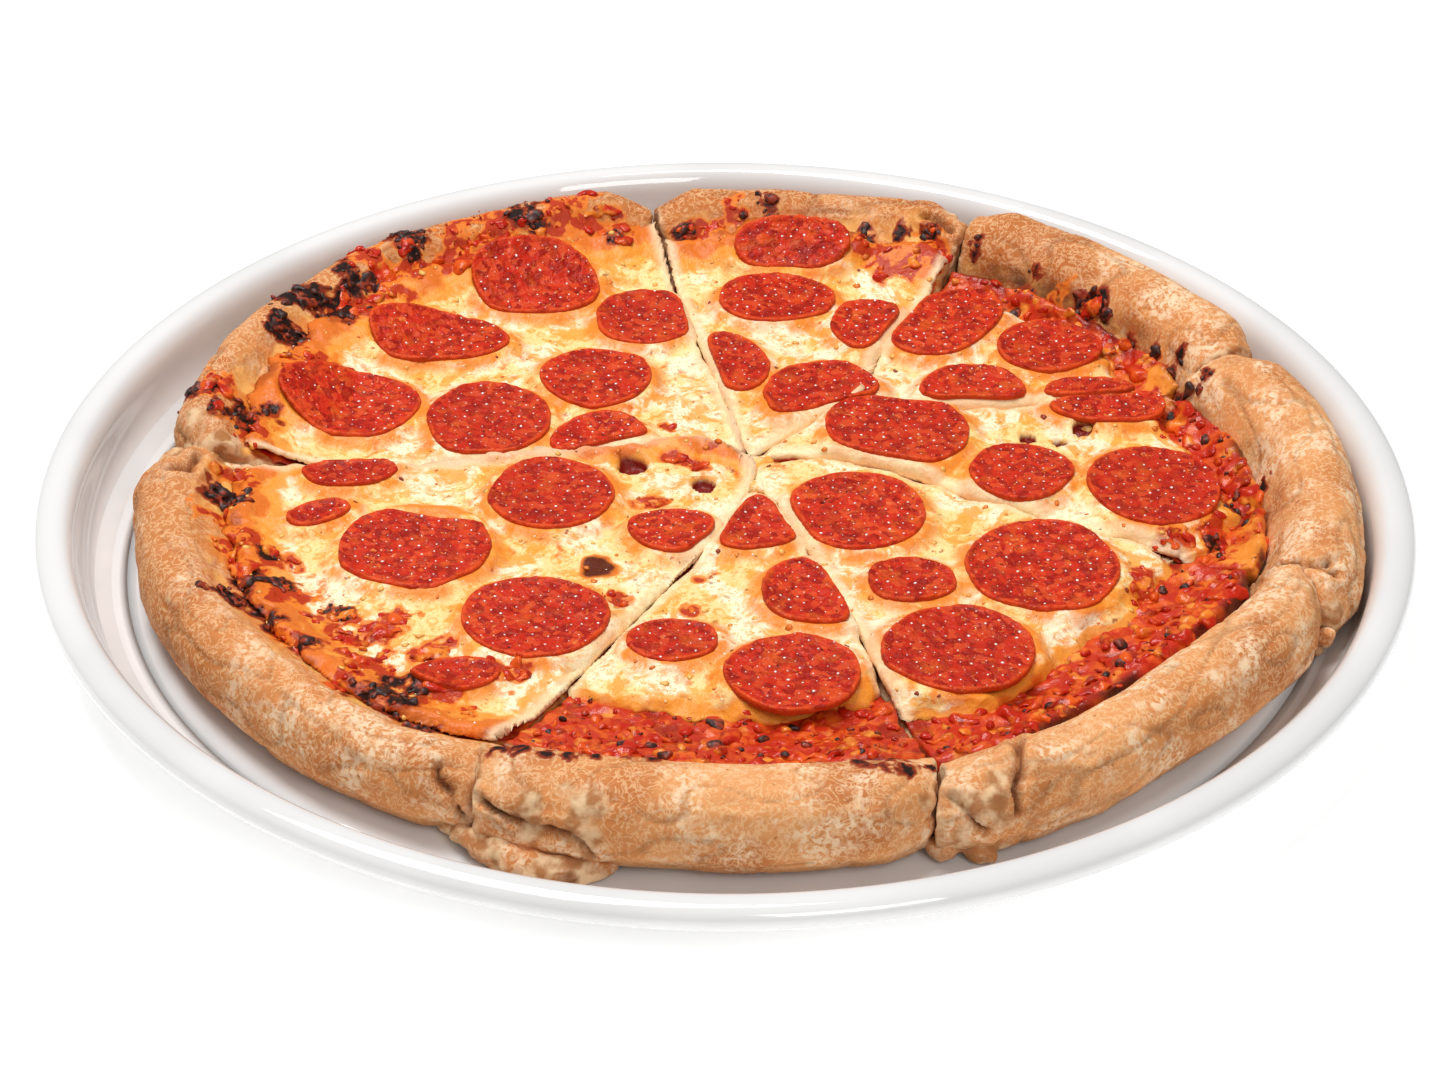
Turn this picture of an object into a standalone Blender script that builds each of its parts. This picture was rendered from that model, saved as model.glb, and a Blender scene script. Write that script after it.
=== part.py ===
"""A pepperoni pizza with a thick rolled crust, cut into seven slices, in its shallow glazed dish.

Metres, +Z up. The origin is on the table under the middle of the dish. Slices are lettered
clockwise from the far side: a, b, c, d, e (nearest the front), f, g.
"""
import math

import bmesh
import bpy
from mathutils import Matrix, Vector

MM = 0.001
GAP = 0.3 * MM                      # left between pieces that touch

# The dish, a turned shape
DISH_FLOOR = 5 * MM                 # top of the flat floor
DISH_FLOOR_RADIUS = 166 * MM
DISH_FILLET = 12 * MM               # between floor and wall
FILLET_STEPS = 6
FOOT_INNER, FOOT_OUTER = 150, 156   # the foot ring, in millimetres
# Radius and height in millimetres: a shallow hollow inside the foot ring, the flaring underside
# of the wall, then the rolled rim
DISH_UNDERSIDE = [(0, 1), (FOOT_INNER - 2, 1), (FOOT_INNER, 0), (FOOT_OUTER, 0),
                  (FOOT_OUTER + 3, 1.5), (168, 4.5), (178, 11), (183, 17), (187.5, 18.8)]
DISH_RIM = [(190, 21.5), (189.2, 24), (187, 25.2), (184.5, 25.6), (182, 25), (180, 23.4)]
DISH_STEPS = 48

# The pizza as a whole: an oval that the rolling pin left a little wide
PIZZA_CENTRE = Vector((6 * MM, 3 * MM))
HALF_WIDTH, HALF_DEPTH = 168.5 * MM, 160 * MM
BASE_BOTTOM = DISH_FLOOR + GAP
BASE_THICKNESS = 6.7 * MM
SAUCE_THICKNESS = 1.4 * MM
CHEESE_THICKNESS = 3.3 * MM
CHEESE_EDGE = 1.2 * MM              # thickness where the cheese runs out
CHEESE_TAPER = 7 * MM               # width over which it thins
BASE_TOP = BASE_BOTTOM + BASE_THICKNESS
SAUCE_BOTTOM = BASE_TOP + GAP
SAUCE_TOP = SAUCE_BOTTOM + SAUCE_THICKNESS
CHEESE_BOTTOM = SAUCE_TOP + GAP
CHEESE_TOP = CHEESE_BOTTOM + CHEESE_THICKNESS
SLOPE_GAP = 0.8 * MM                # between the crust's slope and what lies on it

# The knife cuts
HALF_KERF = 0.9 * MM
END_PULL = 5 * MM                   # how far a cut end of crust draws back from the outline
END_LENGTH = 13 * MM                # over this length of crust
END_DROP = 0.86                     # the roll's height at its cut end, as a share
END_NARROWING = 0.9                 # and its width
CHEESE_ROUNDING = 1.3 * MM          # the cheese drops this much along a cut
ROUNDING_WIDTH = 2.4 * MM
COLUMN_SPACING = 15 * MM
CROSSING = (7, 23)                  # where five slices meet, in millimetres
SECOND_CROSSING = (8, 11)           # where d, e and f meet
TEE = (39, 52)                      # where the cut between a and b runs into the one above c

# Each cut's points in millimetres, outwards; the last one gives the bearing of its notch
CUT_GA = [CROSSING, (4, 33), (-2, 60), (-8, 84), (-14, 112), (-19, 132), (-24, 155)]
CUT_AC = [CROSSING, (17, 34), (28, 44), TEE]
CUT_AB = [TEE, (43, 73), (50, 91), (61, 112), (72, 132), (80, 153)]
CUT_BC = [TEE, (60, 50.5), (85, 50.5), (108, 53), (131, 57), (146, 63), (160, 70)]
CUT_CD = [CROSSING, (24, 24), (51, 15), (74, -1), (98, -12), (122, -24), (141, -36),
          (152, -46), (159, -59)]
CUT_FD = [CROSSING, SECOND_CROSSING]
CUT_DE = [SECOND_CROSSING, (14, -3), (23, -27), (33, -55), (40, -82), (48, -107), (53, -128),
          (52, -150)]
CUT_EF = [SECOND_CROSSING, (2, -11), (-10, -34), (-25, -60), (-40, -87), (-53, -110),
          (-60, -127), (-60, -140), (-66, -152)]
CUT_FG = [CROSSING, (-8, 27), (-25, 26), (-45, 20), (-80, 17), (-118, 14), (-140, 11.5),
          (-160, 12)]

# Slices: cuts in counter-clockwise order, then the crust in millimetres (reach beyond the oval at
# the first cut, halfway and at the second cut, width and height of the roll, run of its inner
# slope). The cheese climbs a share of that slope, or else stops short of it and leaves a width of
# sauce bare.
SLICES = {
    "a": dict(start=CUT_AC[:-1] + CUT_AB, end=CUT_GA, reach=(2, 2, 2), width=20, height=27, run=15,
              climb=0.6, bare=0),
    "b": dict(start=CUT_BC, end=CUT_AB, reach=(3, 5, 7), width=24, height=28, run=4, climb=0,
              bare=8),
    "c": dict(start=CUT_CD, end=CUT_AC[:-1] + CUT_BC, reach=(6, 1.5, 2), width=29, height=26, run=4,
              climb=0, bare=10),
    "d": dict(start=CUT_FD[:-1] + CUT_DE, end=CUT_CD, reach=(2, -1.5, 2), width=26, height=25,
              run=4, climb=0, bare=19),
    "e": dict(start=CUT_EF, end=CUT_DE, reach=(6, 2, 0), width=27, height=25, run=3, climb=0,
              bare=29),
    "f": dict(start=CUT_FG, end=CUT_FD[:-1] + CUT_EF, reach=(3, 2.5, 2), width=23, height=24,
              run=14, climb=0.45, bare=0),
    "g": dict(start=CUT_GA, end=CUT_FG, reach=(4, 5, -6), width=18, height=26, run=19, climb=0.7,
              bare=0),
}

# Round of the roll seen in section, as angles from straight outwards: the foot on the dish is
# below, the lip over the sauce at the far end
ROLL_ANGLES = (-82, -50, -18, 14, 45, 70, 95, 120, 145)
INNER_SHARES = (0.78, 0.57, 0.38, 0.21, 0.08, 0.0)   # rows between the crust and the tip
BEND_WIDTH = 6 * MM                 # over which a layer turns from the base up the slope
SAUCE_PEEK = 2 * MM                 # sauce that shows past cheese on the slope
BARE_CLIMB = 0.3                    # share of the slope that bare sauce climbs
BARE_EXTRA = 1.6 * MM               # how much thicker the sauce lies where it is bare
BARE_SWELL = 0.7 * MM

# Pepperoni: slice, x, y, width, depth in millimetres, turn in degrees. One that a knife went
# through is trimmed by the cuts of its slice.
PEPPERONI_THICKNESS = 1.8 * MM
PEPPERONI_CUP = 0.7 * MM            # the edge curls up by this much in the oven
PEPPERONI_SIDES = 16
PEPPERONI_CLEARANCE = 0.6 * MM      # above the cheese, whose facets lie under its curve
TRIM_CLEARANCE = 0.3 * MM
PEPPERONI = [
    ("a", 20, 131.5, 40, 15, 0), ("a", 15, 108, 37, 29, 0), ("a", 44, 92.5, 27, 30, 0),
    ("a", -3, 69, 32, 38, 0), ("a", 29, 52, 37, 39, 0),
    ("b", 66, 95, 47, 29, 52), ("b", 96, 80, 33, 30, 0), ("b", 72, 54, 33, 32, 0),
    ("b", 108, 52, 34, 22, 0),
    ("c", 49, 33, 43, 43, 0), ("c", 83, 11, 30, 30, -20), ("c", 120, 4, 39, 42, 0),
    ("c", 110, 49, 36, 24, 0),
    ("d", 36, -10, 41, 39, 0), ("d", 50, -43, 25, 22, -8), ("d", 86, -36, 43, 45, 0),
    ("d", 61, -75, 42, 39, 0),
    ("e", 7, -15, 36, 29, 0), ("e", 27, -49, 36, 34, 0), ("e", -13, -72, 25, 19, 0),
    ("e", 18, -87, 37, 34, 0),
    ("f", -106, 12, 29, 24, 0), ("f", -112, -13, 21, 11, 30), ("f", -84, -29, 43, 41, 0),
    ("f", -48, -2, 36, 38, 0), ("f", -50, -62, 40, 37, 0), ("f", -14, -20, 27, 22, -15),
    ("f", -69, -88, 24, 14, 10),
    ("g", -58, 113, 42, 30, 8), ("g", -24, 97, 33, 33, 0), ("g", -86, 82, 44, 27, 0),
    ("g", -108, 44, 41, 34, 0), ("g", -68, 37, 37, 40, 0), ("g", -38, 61, 34, 34, 0),
    ("g", -35, 25, 30, 32, 0),
]


def material(name, colour, roughness):
    """A Principled material with the piece's own colour and gloss."""
    made = bpy.data.materials.new(name)
    made.use_nodes = True
    shader = made.node_tree.nodes["Principled BSDF"]
    shader.inputs["Base Color"].default_value = (*colour, 1)
    shader.inputs["Roughness"].default_value = roughness
    return made


def add_object(name, mesh_builder, finish):
    """Turn a bmesh into a named, closed, triangulated object."""
    bmesh.ops.remove_doubles(mesh_builder, verts=mesh_builder.verts, dist=0.01 * MM)
    bmesh.ops.recalc_face_normals(mesh_builder, faces=mesh_builder.faces)
    bmesh.ops.triangulate(mesh_builder, faces=mesh_builder.faces)
    mesh = bpy.data.meshes.new(name)
    mesh_builder.to_mesh(mesh)
    mesh_builder.free()
    mesh.materials.append(finish)
    mesh.shade_smooth()
    mesh.set_sharp_from_angle(angle=math.radians(40))
    made = bpy.data.objects.new(name, mesh)
    bpy.context.collection.objects.link(made)
    return made


def smoothstep(value):
    value = min(max(value, 0.0), 1.0)
    return value * value * (3 - 2 * value)


def arc(centre, radius, first, last, steps):
    """Points of a round stretch of a profile, by angles in degrees."""
    angles = [math.radians(first + (last - first) * i / steps) for i in range(steps + 1)]
    return [(centre[0] + radius * math.cos(a), centre[1] + radius * math.sin(a)) for a in angles]


def smooth_path(points, step=3 * MM):
    """A Catmull-Rom curve through points in millimetres, as closely spaced metres."""
    knots = [Vector(p) * MM for p in points]
    knots = [2 * knots[0] - knots[1]] + knots + [2 * knots[-1] - knots[-2]]
    path = []
    for p0, p1, p2, p3 in zip(knots, knots[1:], knots[2:], knots[3:]):
        count = max(2, round((p2 - p1).length / step))
        for i in range(count):
            t = i / count
            path.append(0.5 * (2 * p1 + (p2 - p0) * t + (2 * p0 - 5 * p1 + 4 * p2 - p3) * t ** 2
                               + (3 * p1 - p0 - 3 * p2 + p3) * t ** 3))
    return path + [knots[-2]]


def along(path, share):
    """The point at a share of a path's length."""
    lengths = [0.0]
    for p, q in zip(path, path[1:]):
        lengths.append(lengths[-1] + (q - p).length)
    target = share * lengths[-1]
    for i in range(1, len(path)):
        if lengths[i] >= target:
            span = lengths[i] - lengths[i - 1]
            return path[i - 1].lerp(path[i], (target - lengths[i - 1]) / span if span else 0)
    return path[-1]


def outline(bearing, reach):
    """The crust's outermost edge at a bearing from the pizza's centre, a little uneven."""
    c, s = math.cos(bearing), math.sin(bearing)
    oval = 1 / math.hypot(c / HALF_WIDTH, s / HALF_DEPTH)
    uneven = (0.9 * math.sin(5 * bearing + 1.1) + 0.6 * math.sin(11 * bearing + 0.4)) * MM
    return PIZZA_CENTRE + Vector((c, s)) * (oval + reach + uneven)


def roll_height(bearing, height):
    """The crust's height at a bearing, with its low swells."""
    return height + (0.8 * math.sin(7 * bearing + 0.9) + 0.5 * math.sin(16 * bearing + 2.2)) * MM


def cheese_height(point):
    """Top of the melted cheese, gently uneven."""
    x, y = point.x / MM, point.y / MM
    return CHEESE_TOP + 0.25 * MM * (math.sin(x / 15 + 0.6) + math.sin(y / 14 - 0.9 + x / 40))


class Slice:
    """The plan of one slice: two cut sides and a stretch of rim, fanned out from its tip."""

    def __init__(self, start, end, reach, width, height, run, climb, bare):
        self.width, self.run, self.bare = width * MM, run * MM, bare * MM
        self.height, self.reaches, self.climb = height * MM, [r * MM for r in reach], climb
        first, last = smooth_path(start), smooth_path(end)
        crossing = first[0]
        headings = [(p[4] - p[0]).normalized() for p in (first, last)]
        half_angle = headings[0].angle(headings[1]) / 2
        middle = (headings[0] + headings[1]).normalized()
        self.tip = crossing + middle * (HALF_KERF / math.sin(half_angle))
        self.start = self.side(first, HALF_KERF, self.reaches[0])
        self.end = self.side(last, -HALF_KERF, self.reaches[2])
        self.bearings = [self.bearing(self.start[-1]), self.bearing(self.end[-1])]
        if self.bearings[1] < self.bearings[0]:
            self.bearings[1] += 2 * math.pi
        self.arc_length = (self.bearings[1] - self.bearings[0]) * (HALF_WIDTH + HALF_DEPTH) / 2

    @staticmethod
    def bearing(point):
        away = point - PIZZA_CENTRE
        return math.atan2(away.y, away.x)

    def side(self, path, shift, reach):
        """One cut side: the cut's path moved half a kerf into the slice, tip to rim."""
        rim = outline(self.bearing(path[-1]), reach - END_PULL)
        path = [p for p in path if (p - PIZZA_CENTRE).length < (rim - PIZZA_CENTRE).length - 4 * MM]
        path.append(rim)
        shifted = []
        for i, p in enumerate(path):
            heading = (path[min(i + 1, len(path) - 1)] - path[max(i - 1, 0)]).normalized()
            shifted.append(p + Vector((-heading.y, heading.x)) * shift)
        clear = 1.5 * (self.tip - path[0]).length
        return [self.tip] + [p for p in shifted if (p - path[0]).length > clear]

    def columns(self, rounded):
        """Shares of the rim's length, closer at both ends; rounded adds one beside each cut."""
        near = [0.0] + ([ROUNDING_WIDTH] if rounded else []) + [0.45 * END_LENGTH]
        inner = self.arc_length - 2 * END_LENGTH
        count = max(2, round(inner / COLUMN_SPACING))
        spread = [END_LENGTH + inner * i / count for i in range(count + 1)]
        stops = near + spread + [self.arc_length - n for n in reversed(near)]
        return [stop / self.arc_length for stop in stops]

    def from_end(self, share):
        """How far a column is from the nearer cut, 0 at the cut and 1 past the drawn-in end."""
        return smoothstep(min(share, 1 - share) * self.arc_length / END_LENGTH)

    def column_bearing(self, share):
        return self.bearings[0] + share * (self.bearings[1] - self.bearings[0])

    def reach(self, share):
        """How far the crust reaches beyond the oval: a smooth curve through the three values."""
        first, halfway, last = self.reaches
        return (first * (1 - share) * (1 - 2 * share) + 4 * halfway * share * (1 - share)
                + last * share * (2 * share - 1))

    def rim(self, share):
        if share == 0:
            return self.start[-1]
        if share == 1:
            return self.end[-1]
        reach = self.reach(share) - END_PULL * (1 - self.from_end(share))
        return outline(self.column_bearing(share), reach)

    def plan(self, share, out):
        """The plan point on a column at a share of the way from the tip to the rim."""
        rim = self.rim(share)
        straight = self.tip + (rim - self.tip) * out
        for side, weight in ((self.start, 1 - share), (self.end, share)):
            bend = along(side, min(out, 1)) - (self.tip + (side[-1] - self.tip) * min(out, 1))
            straight = straight + bend * weight
        return straight

    def at(self, share, inwards):
        """The plan point a distance inwards from the rim."""
        length = (self.rim(share) - self.tip).length
        return self.plan(share, 1 - inwards / length)

    def roll(self, share):
        """The roll's height and width at a column: lower and narrower at a cut."""
        whole = self.from_end(share)
        height = roll_height(self.column_bearing(share), self.height)
        height *= END_DROP + (1 - END_DROP) * whole
        return height, self.width * (END_NARROWING + (1 - END_NARROWING) * whole)

    def rows(self, share, inwards):
        """Plan points from a distance inside the rim to the tip, in the shared spacing."""
        length = (self.rim(share) - self.tip).length
        out = 1 - inwards / length
        return [self.plan(share, out)] + [self.plan(share, out * part) for part in INNER_SHARES]


def loft(loops, pairs):
    """Skin matching loops into a closed body; pairs joins the loop's two chains at each end."""
    mesh = bmesh.new()
    rings = [[mesh.verts.new(p) for p in loop] for loop in loops]
    size = len(loops[0])
    for ring, following in zip(rings, rings[1:]):
        for i in range(size):
            j = (i + 1) % size
            mesh.faces.new((ring[i], ring[j], following[j], following[i]))
    for ring in (rings[0], rings[-1]):
        for (a, b), (c, d) in zip(pairs, pairs[1:]):
            corners = list(dict.fromkeys((ring[a], ring[c], ring[d], ring[b])))
            mesh.faces.new(corners)
        outer = [ring[i] for i in range(min(pairs[0]), max(pairs[0]) + 1)]
        if len(outer) > 2:
            mesh.faces.new(outer)
    return mesh


def at_height(point, height):
    return Vector((point.x, point.y, height))


def dough_loop(part, share):
    """One section through a slice's dough: base, underside, roll, lip and slope to the base."""
    height, width = part.roll(share)
    roll_points = []
    for angle in ROLL_ANGLES:
        a = math.radians(angle)
        inwards = width / 2 * (1 - math.cos(a))
        level = BASE_BOTTOM + height / 2 * (1 + math.sin(a))
        roll_points.append(at_height(part.at(share, inwards), level))
    roll_points[0].z = BASE_BOTTOM
    base = part.rows(share, width + part.run)
    under = [at_height(p, BASE_BOTTOM) for p in reversed(base)]
    top = [at_height(p, BASE_TOP) for p in base]
    return under + roll_points + top


def above_slope(part, share, up, lift):
    """Distance inwards and height of a point over the crust's inner slope: up is its share of
    the slope's length from the foot, lift its distance from the dough."""
    height, width = part.roll(share)
    a = math.radians(ROLL_ANGLES[-1])
    lip_in, lip_level = width / 2 * (1 - math.cos(a)), BASE_BOTTOM + height / 2 * (1 + math.sin(a))
    run, rise = width + part.run - lip_in, lip_level - BASE_TOP
    angle = math.atan2(rise, run)
    inwards = width + part.run + lift * math.tan(angle / 2)
    return inwards - up * run, BASE_TOP + lift + up * rise


def over_slope(part, share, up, lift):
    inwards, level = above_slope(part, share, up, lift)
    return at_height(part.at(share, inwards), level)


def bare_thickness(part, share):
    """How thick the sauce lies on a column where no cheese covers it."""
    bearing = part.column_bearing(share)
    swell = 0.6 * math.sin(17 * bearing) + 0.4 * math.sin(31 * bearing)
    return SAUCE_THICKNESS + (BARE_EXTRA + BARE_SWELL * swell if part.bare else 0)


def cheese_reach(part, share):
    """Distance inwards from the rim at which flat cheese runs out, a wavy line."""
    bearing = part.column_bearing(share)
    wave = (1.5 * math.sin(13 * bearing + 0.5) + 1.0 * math.sin(29 * bearing)) * MM
    return part.width + part.run + part.bare + wave


def sauce_loop(part, share):
    """One section through a slice's sauce: thin under the cheese, thick where it is bare."""
    thickness = bare_thickness(part, share)
    shoulder, level = above_slope(part, share, 0, GAP + thickness)
    if part.climb:
        up = part.climb + SAUCE_PEEK / math.hypot(part.run, part.height)
        inner = shoulder + BEND_WIDTH
    else:
        up = BARE_CLIMB
        inner = cheese_reach(part, share)
        shoulder = (shoulder + inner) / 2
    rows = part.rows(share, inner)
    under = [at_height(p, SAUCE_BOTTOM) for p in reversed(rows)]
    under += [over_slope(part, share, 0, SLOPE_GAP), over_slope(part, share, up, SLOPE_GAP)]
    under[-2].z = SAUCE_BOTTOM
    top = [over_slope(part, share, up, SLOPE_GAP + thickness),
           at_height(part.at(share, shoulder), level)]
    top += [at_height(p, SAUCE_TOP) for p in rows]
    return under + top


def cheese_loop(part, share):
    """One section through a slice's cheese, rounded where a knife went through."""
    drop = CHEESE_ROUNDING if share in (0, 1) else 0
    below = SLOPE_GAP + SAUCE_THICKNESS + GAP
    if part.climb:
        low = over_slope(part, share, part.climb, below)
        high = over_slope(part, share, part.climb, below + CHEESE_EDGE)
        bend = above_slope(part, share, 0, below)[0] + BEND_WIDTH
    else:
        rim = part.at(share, cheese_reach(part, share) + GAP)
        low, high = at_height(rim, CHEESE_BOTTOM), at_height(rim, CHEESE_BOTTOM + CHEESE_EDGE)
        bend = cheese_reach(part, share) + CHEESE_TAPER
    body = part.rows(share, bend)
    under = [at_height(p, CHEESE_BOTTOM) for p in reversed(body)] + [low]
    top = [high] + [at_height(p, cheese_height(p) - drop) for p in body[:-1]]
    tip = [at_height(body[-1], cheese_height(body[-1]) - CHEESE_ROUNDING)]
    return under + top + tip


def layer(name, part, loop, rounded, finish):
    """A slice's dough, sauce or cheese as one closed body."""
    loops = [loop(part, share) for share in part.columns(rounded)]
    size = len(loops[0])
    rows = len(INNER_SHARES) + 1 if loop is dough_loop else size // 2
    pairs = [(rows - 1 - i, size - rows + i) for i in range(rows)]
    return add_object(name, loft(loops, pairs), finish)


def dish_profile():
    """Half section of the dish, round from the middle of its underside to that of its floor."""
    outside = [(radius * MM, height * MM) for radius, height in DISH_UNDERSIDE + DISH_RIM]
    middle = (DISH_FLOOR_RADIUS, DISH_FLOOR + DISH_FILLET)
    return outside + arc(middle, DISH_FILLET, 0, -90, FILLET_STEPS) + [(0, DISH_FLOOR)]


def make_dish(finish):
    mesh = bmesh.new()
    rings = []
    for i in range(DISH_STEPS):
        turn = 2 * math.pi * i / DISH_STEPS
        rings.append([mesh.verts.new((r * math.cos(turn), r * math.sin(turn), z))
                      for r, z in dish_profile()])
    for ring, following in zip(rings, rings[1:] + rings[:1]):
        for i in range(len(ring) - 1):
            mesh.faces.new((ring[i], following[i], following[i + 1], ring[i + 1]))
    return add_object("dish", mesh, finish)


def trim(points, on_line, inwards):
    """Cut a flat polygon back to one side of a line."""
    kept = []
    for p, q in zip(points, points[1:] + points[:1]):
        p_depth, q_depth = (p - on_line).dot(inwards), (q - on_line).dot(inwards)
        if p_depth >= 0:
            kept.append(p)
        if (p_depth >= 0) != (q_depth >= 0):
            kept.append(p.lerp(q, p_depth / (p_depth - q_depth)))
    return kept


def trimmed_by_cuts(points, centre, part):
    """Trim a slice of sausage along the two cut sides of its pizza slice."""
    for side, turn in ((part.start, 1), (part.end, -1)):
        pairs = list(zip(side, side[1:]))
        p, q = min(pairs, key=lambda pair: ((pair[0] + pair[1]) / 2 - centre).length)
        heading = (q - p).normalized()
        inwards = Vector((-heading.y, heading.x)) * turn
        points = trim(points, p + inwards * TRIM_CLEARANCE, inwards)
    return points


def rest_height(part, point):
    """Height of the topping under a point: flat cheese, or cheese that climbs the crust."""
    if not part.climb:
        return cheese_height(point)
    topping = SLOPE_GAP + SAUCE_THICKNESS + GAP + CHEESE_THICKNESS
    first, last = part.bearings
    bearing = part.bearing(point)
    share = min((bearing - first) % (2 * math.pi) / (last - first), 1)
    edge = outline(bearing, part.reach(share))
    inwards = (edge - point).length
    foot, level = above_slope(part, 0.5, 0, topping)
    lip_in, lip_level = above_slope(part, 0.5, 1, topping)
    slope = (lip_level - level) / (foot - lip_in)
    climbing = level + slope * (foot + 3 * MM - inwards)
    return max(cheese_height(point), min(climbing, lip_level))


def make_pepperoni(name, part, x, y, width, depth, turn, finish):
    """A cupped slice of sausage, thin, with its edge a little raised."""
    centre = Vector((x, y)) * MM
    points = []
    for i in range(PEPPERONI_SIDES):
        a = 2 * math.pi * i / PEPPERONI_SIDES
        wobble = 1 + 0.02 * math.sin(3 * a + x) + 0.015 * math.sin(5 * a + y)
        across = Vector((math.cos(a) * width, math.sin(a) * depth)) * (MM / 2 * wobble)
        points.append(centre + Matrix.Rotation(math.radians(turn), 2) @ across)
    points = trimmed_by_cuts(points, centre, part)
    middle = sum(points, Vector((0, 0))) / len(points)
    mesh = bmesh.new()

    def raised(point, extra):
        return at_height(point, rest_height(part, point) + PEPPERONI_CLEARANCE + extra)

    bottom = [mesh.verts.new(raised(p, PEPPERONI_CUP)) for p in points]
    edge = [mesh.verts.new(raised(p.lerp(middle, 0.03), PEPPERONI_CUP + PEPPERONI_THICKNESS))
            for p in points]
    under = mesh.verts.new(raised(middle, 0))
    top = mesh.verts.new(raised(middle, PEPPERONI_THICKNESS))
    count = len(points)
    for i in range(count):
        j = (i + 1) % count
        mesh.faces.new((bottom[j], bottom[i], under))
        mesh.faces.new((bottom[i], bottom[j], edge[j], edge[i]))
        mesh.faces.new((edge[i], edge[j], top))
    return add_object(name, mesh, finish)


def main():
    for old in list(bpy.data.objects):
        bpy.data.objects.remove(old, do_unlink=True)
    glaze = material("white_glaze", (0.86, 0.85, 0.83), 0.12)
    crust = material("baked_dough", (0.62, 0.36, 0.17), 0.65)
    sauce = material("tomato_sauce", (0.55, 0.08, 0.02), 0.35)
    cheese = material("melted_cheese", (0.93, 0.72, 0.40), 0.35)
    sausage = material("pepperoni", (0.55, 0.06, 0.02), 0.3)
    make_dish(glaze)
    plans = {letter: Slice(**values) for letter, values in SLICES.items()}
    for letter, part in plans.items():
        layer("dough_" + letter, part, dough_loop, False, crust)
        layer("sauce_" + letter, part, sauce_loop, False, sauce)
        layer("cheese_" + letter, part, cheese_loop, True, cheese)
    for number, (letter, *place) in enumerate(PEPPERONI, 1):
        make_pepperoni("pepperoni_%02d" % number, plans[letter], *place, sausage)


main()
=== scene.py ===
# %% [markdown]
# # A pepperoni pizza in its white dish
#
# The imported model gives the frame: where each slice, layer and piece of sausage lies, in metres.
# This lesson gives every one of them its baked, melted or glazed looks. Plain solids are turned
# into even meshes first, then shaped by noise, and then coloured by materials that read what the
# shaping stored on the mesh.

# %% Load the frame
import itertools
import math

import bmesh
import bpy
import numpy as np
from mathutils import Matrix, Vector
from mathutils.geometry import convex_hull_2d


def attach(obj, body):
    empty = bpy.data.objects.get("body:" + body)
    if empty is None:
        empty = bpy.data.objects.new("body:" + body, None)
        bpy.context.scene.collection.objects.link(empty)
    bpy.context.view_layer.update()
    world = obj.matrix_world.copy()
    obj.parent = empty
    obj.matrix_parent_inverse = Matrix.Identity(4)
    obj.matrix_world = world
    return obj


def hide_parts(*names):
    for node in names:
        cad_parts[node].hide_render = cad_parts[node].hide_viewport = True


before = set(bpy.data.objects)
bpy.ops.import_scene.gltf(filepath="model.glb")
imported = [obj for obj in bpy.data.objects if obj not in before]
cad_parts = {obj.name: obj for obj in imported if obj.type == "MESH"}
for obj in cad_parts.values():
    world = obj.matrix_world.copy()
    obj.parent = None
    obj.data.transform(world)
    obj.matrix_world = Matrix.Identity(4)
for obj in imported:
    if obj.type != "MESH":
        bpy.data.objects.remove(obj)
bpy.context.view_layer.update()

MM = 0.001
TOUCHING = 0.01 * MM
SLICES = "abcdefg"
SAUSAGES = sorted(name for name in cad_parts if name.startswith("pepperoni"))
print("nodes:", len(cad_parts), "slices of sausage:", len(SAUSAGES))

# %% [markdown]
# ## Even meshes
#
# The solids have long thin triangles, which bend badly when they are shaped. A voxel remesh gives
# small squares of one size all over, and a few rounds of smoothing take the facets off.
# Subdivision would keep the long triangles, so the remesh is the better start for soft food.

# %% A smooth, even copy of a node
def keep_as_mesh(piece):
    """Apply a piece's modifiers and leave a plain mesh."""
    evaluated = piece.evaluated_get(bpy.context.evaluated_depsgraph_get())
    plain = bpy.data.meshes.new_from_object(evaluated)
    piece.modifiers.clear()
    piece.data = plain
    plain.name = piece.name


def new_piece(name, mesh):
    piece = bpy.data.objects.new(name, mesh)
    bpy.context.scene.collection.objects.link(piece)
    return piece


def built_piece(name, builder):
    """A new piece from a bmesh, which is freed."""
    mesh = bpy.data.meshes.new(name)
    builder.to_mesh(mesh)
    builder.free()
    return new_piece(name, mesh)


def make_even(piece, voxel, rounds):
    """Remake a mesh of squares of a voxel's size, smoothed for some rounds."""
    remesh = piece.modifiers.new("even squares", "REMESH")
    remesh.mode = "VOXEL"
    remesh.voxel_size = voxel
    smooth = piece.modifiers.new("facets off", "SMOOTH")
    smooth.factor = 0.5
    smooth.iterations = rounds
    keep_as_mesh(piece)
    return piece


def even_copy(node, name, voxel, rounds):
    """A node's shape as a new piece with an even mesh."""
    builder = bmesh.new()
    builder.from_mesh(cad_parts[node].data)
    bmesh.ops.remove_doubles(builder, verts=builder.verts, dist=TOUCHING)
    return make_even(built_piece(name, builder), voxel, rounds)


def dress(piece, material):
    """Give a piece one material all over and a smooth look."""
    mesh = piece.data
    mesh.polygons.foreach_set("material_index", np.zeros(len(mesh.polygons), dtype=np.int32))
    mesh.materials.clear()
    mesh.materials.append(material)
    mesh.shade_smooth()


# %% [markdown]
# ## Reading and moving points
#
# NumPy handles all the points of a mesh at once, which keeps half a million of them quick. Each
# function below takes points in metres as rows.

# %% Points, normals and stored values
def read_points(piece):
    mesh = piece.data
    points = np.empty(len(mesh.vertices) * 3)
    mesh.vertices.foreach_get("co", points)
    return points.reshape(-1, 3)


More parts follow.
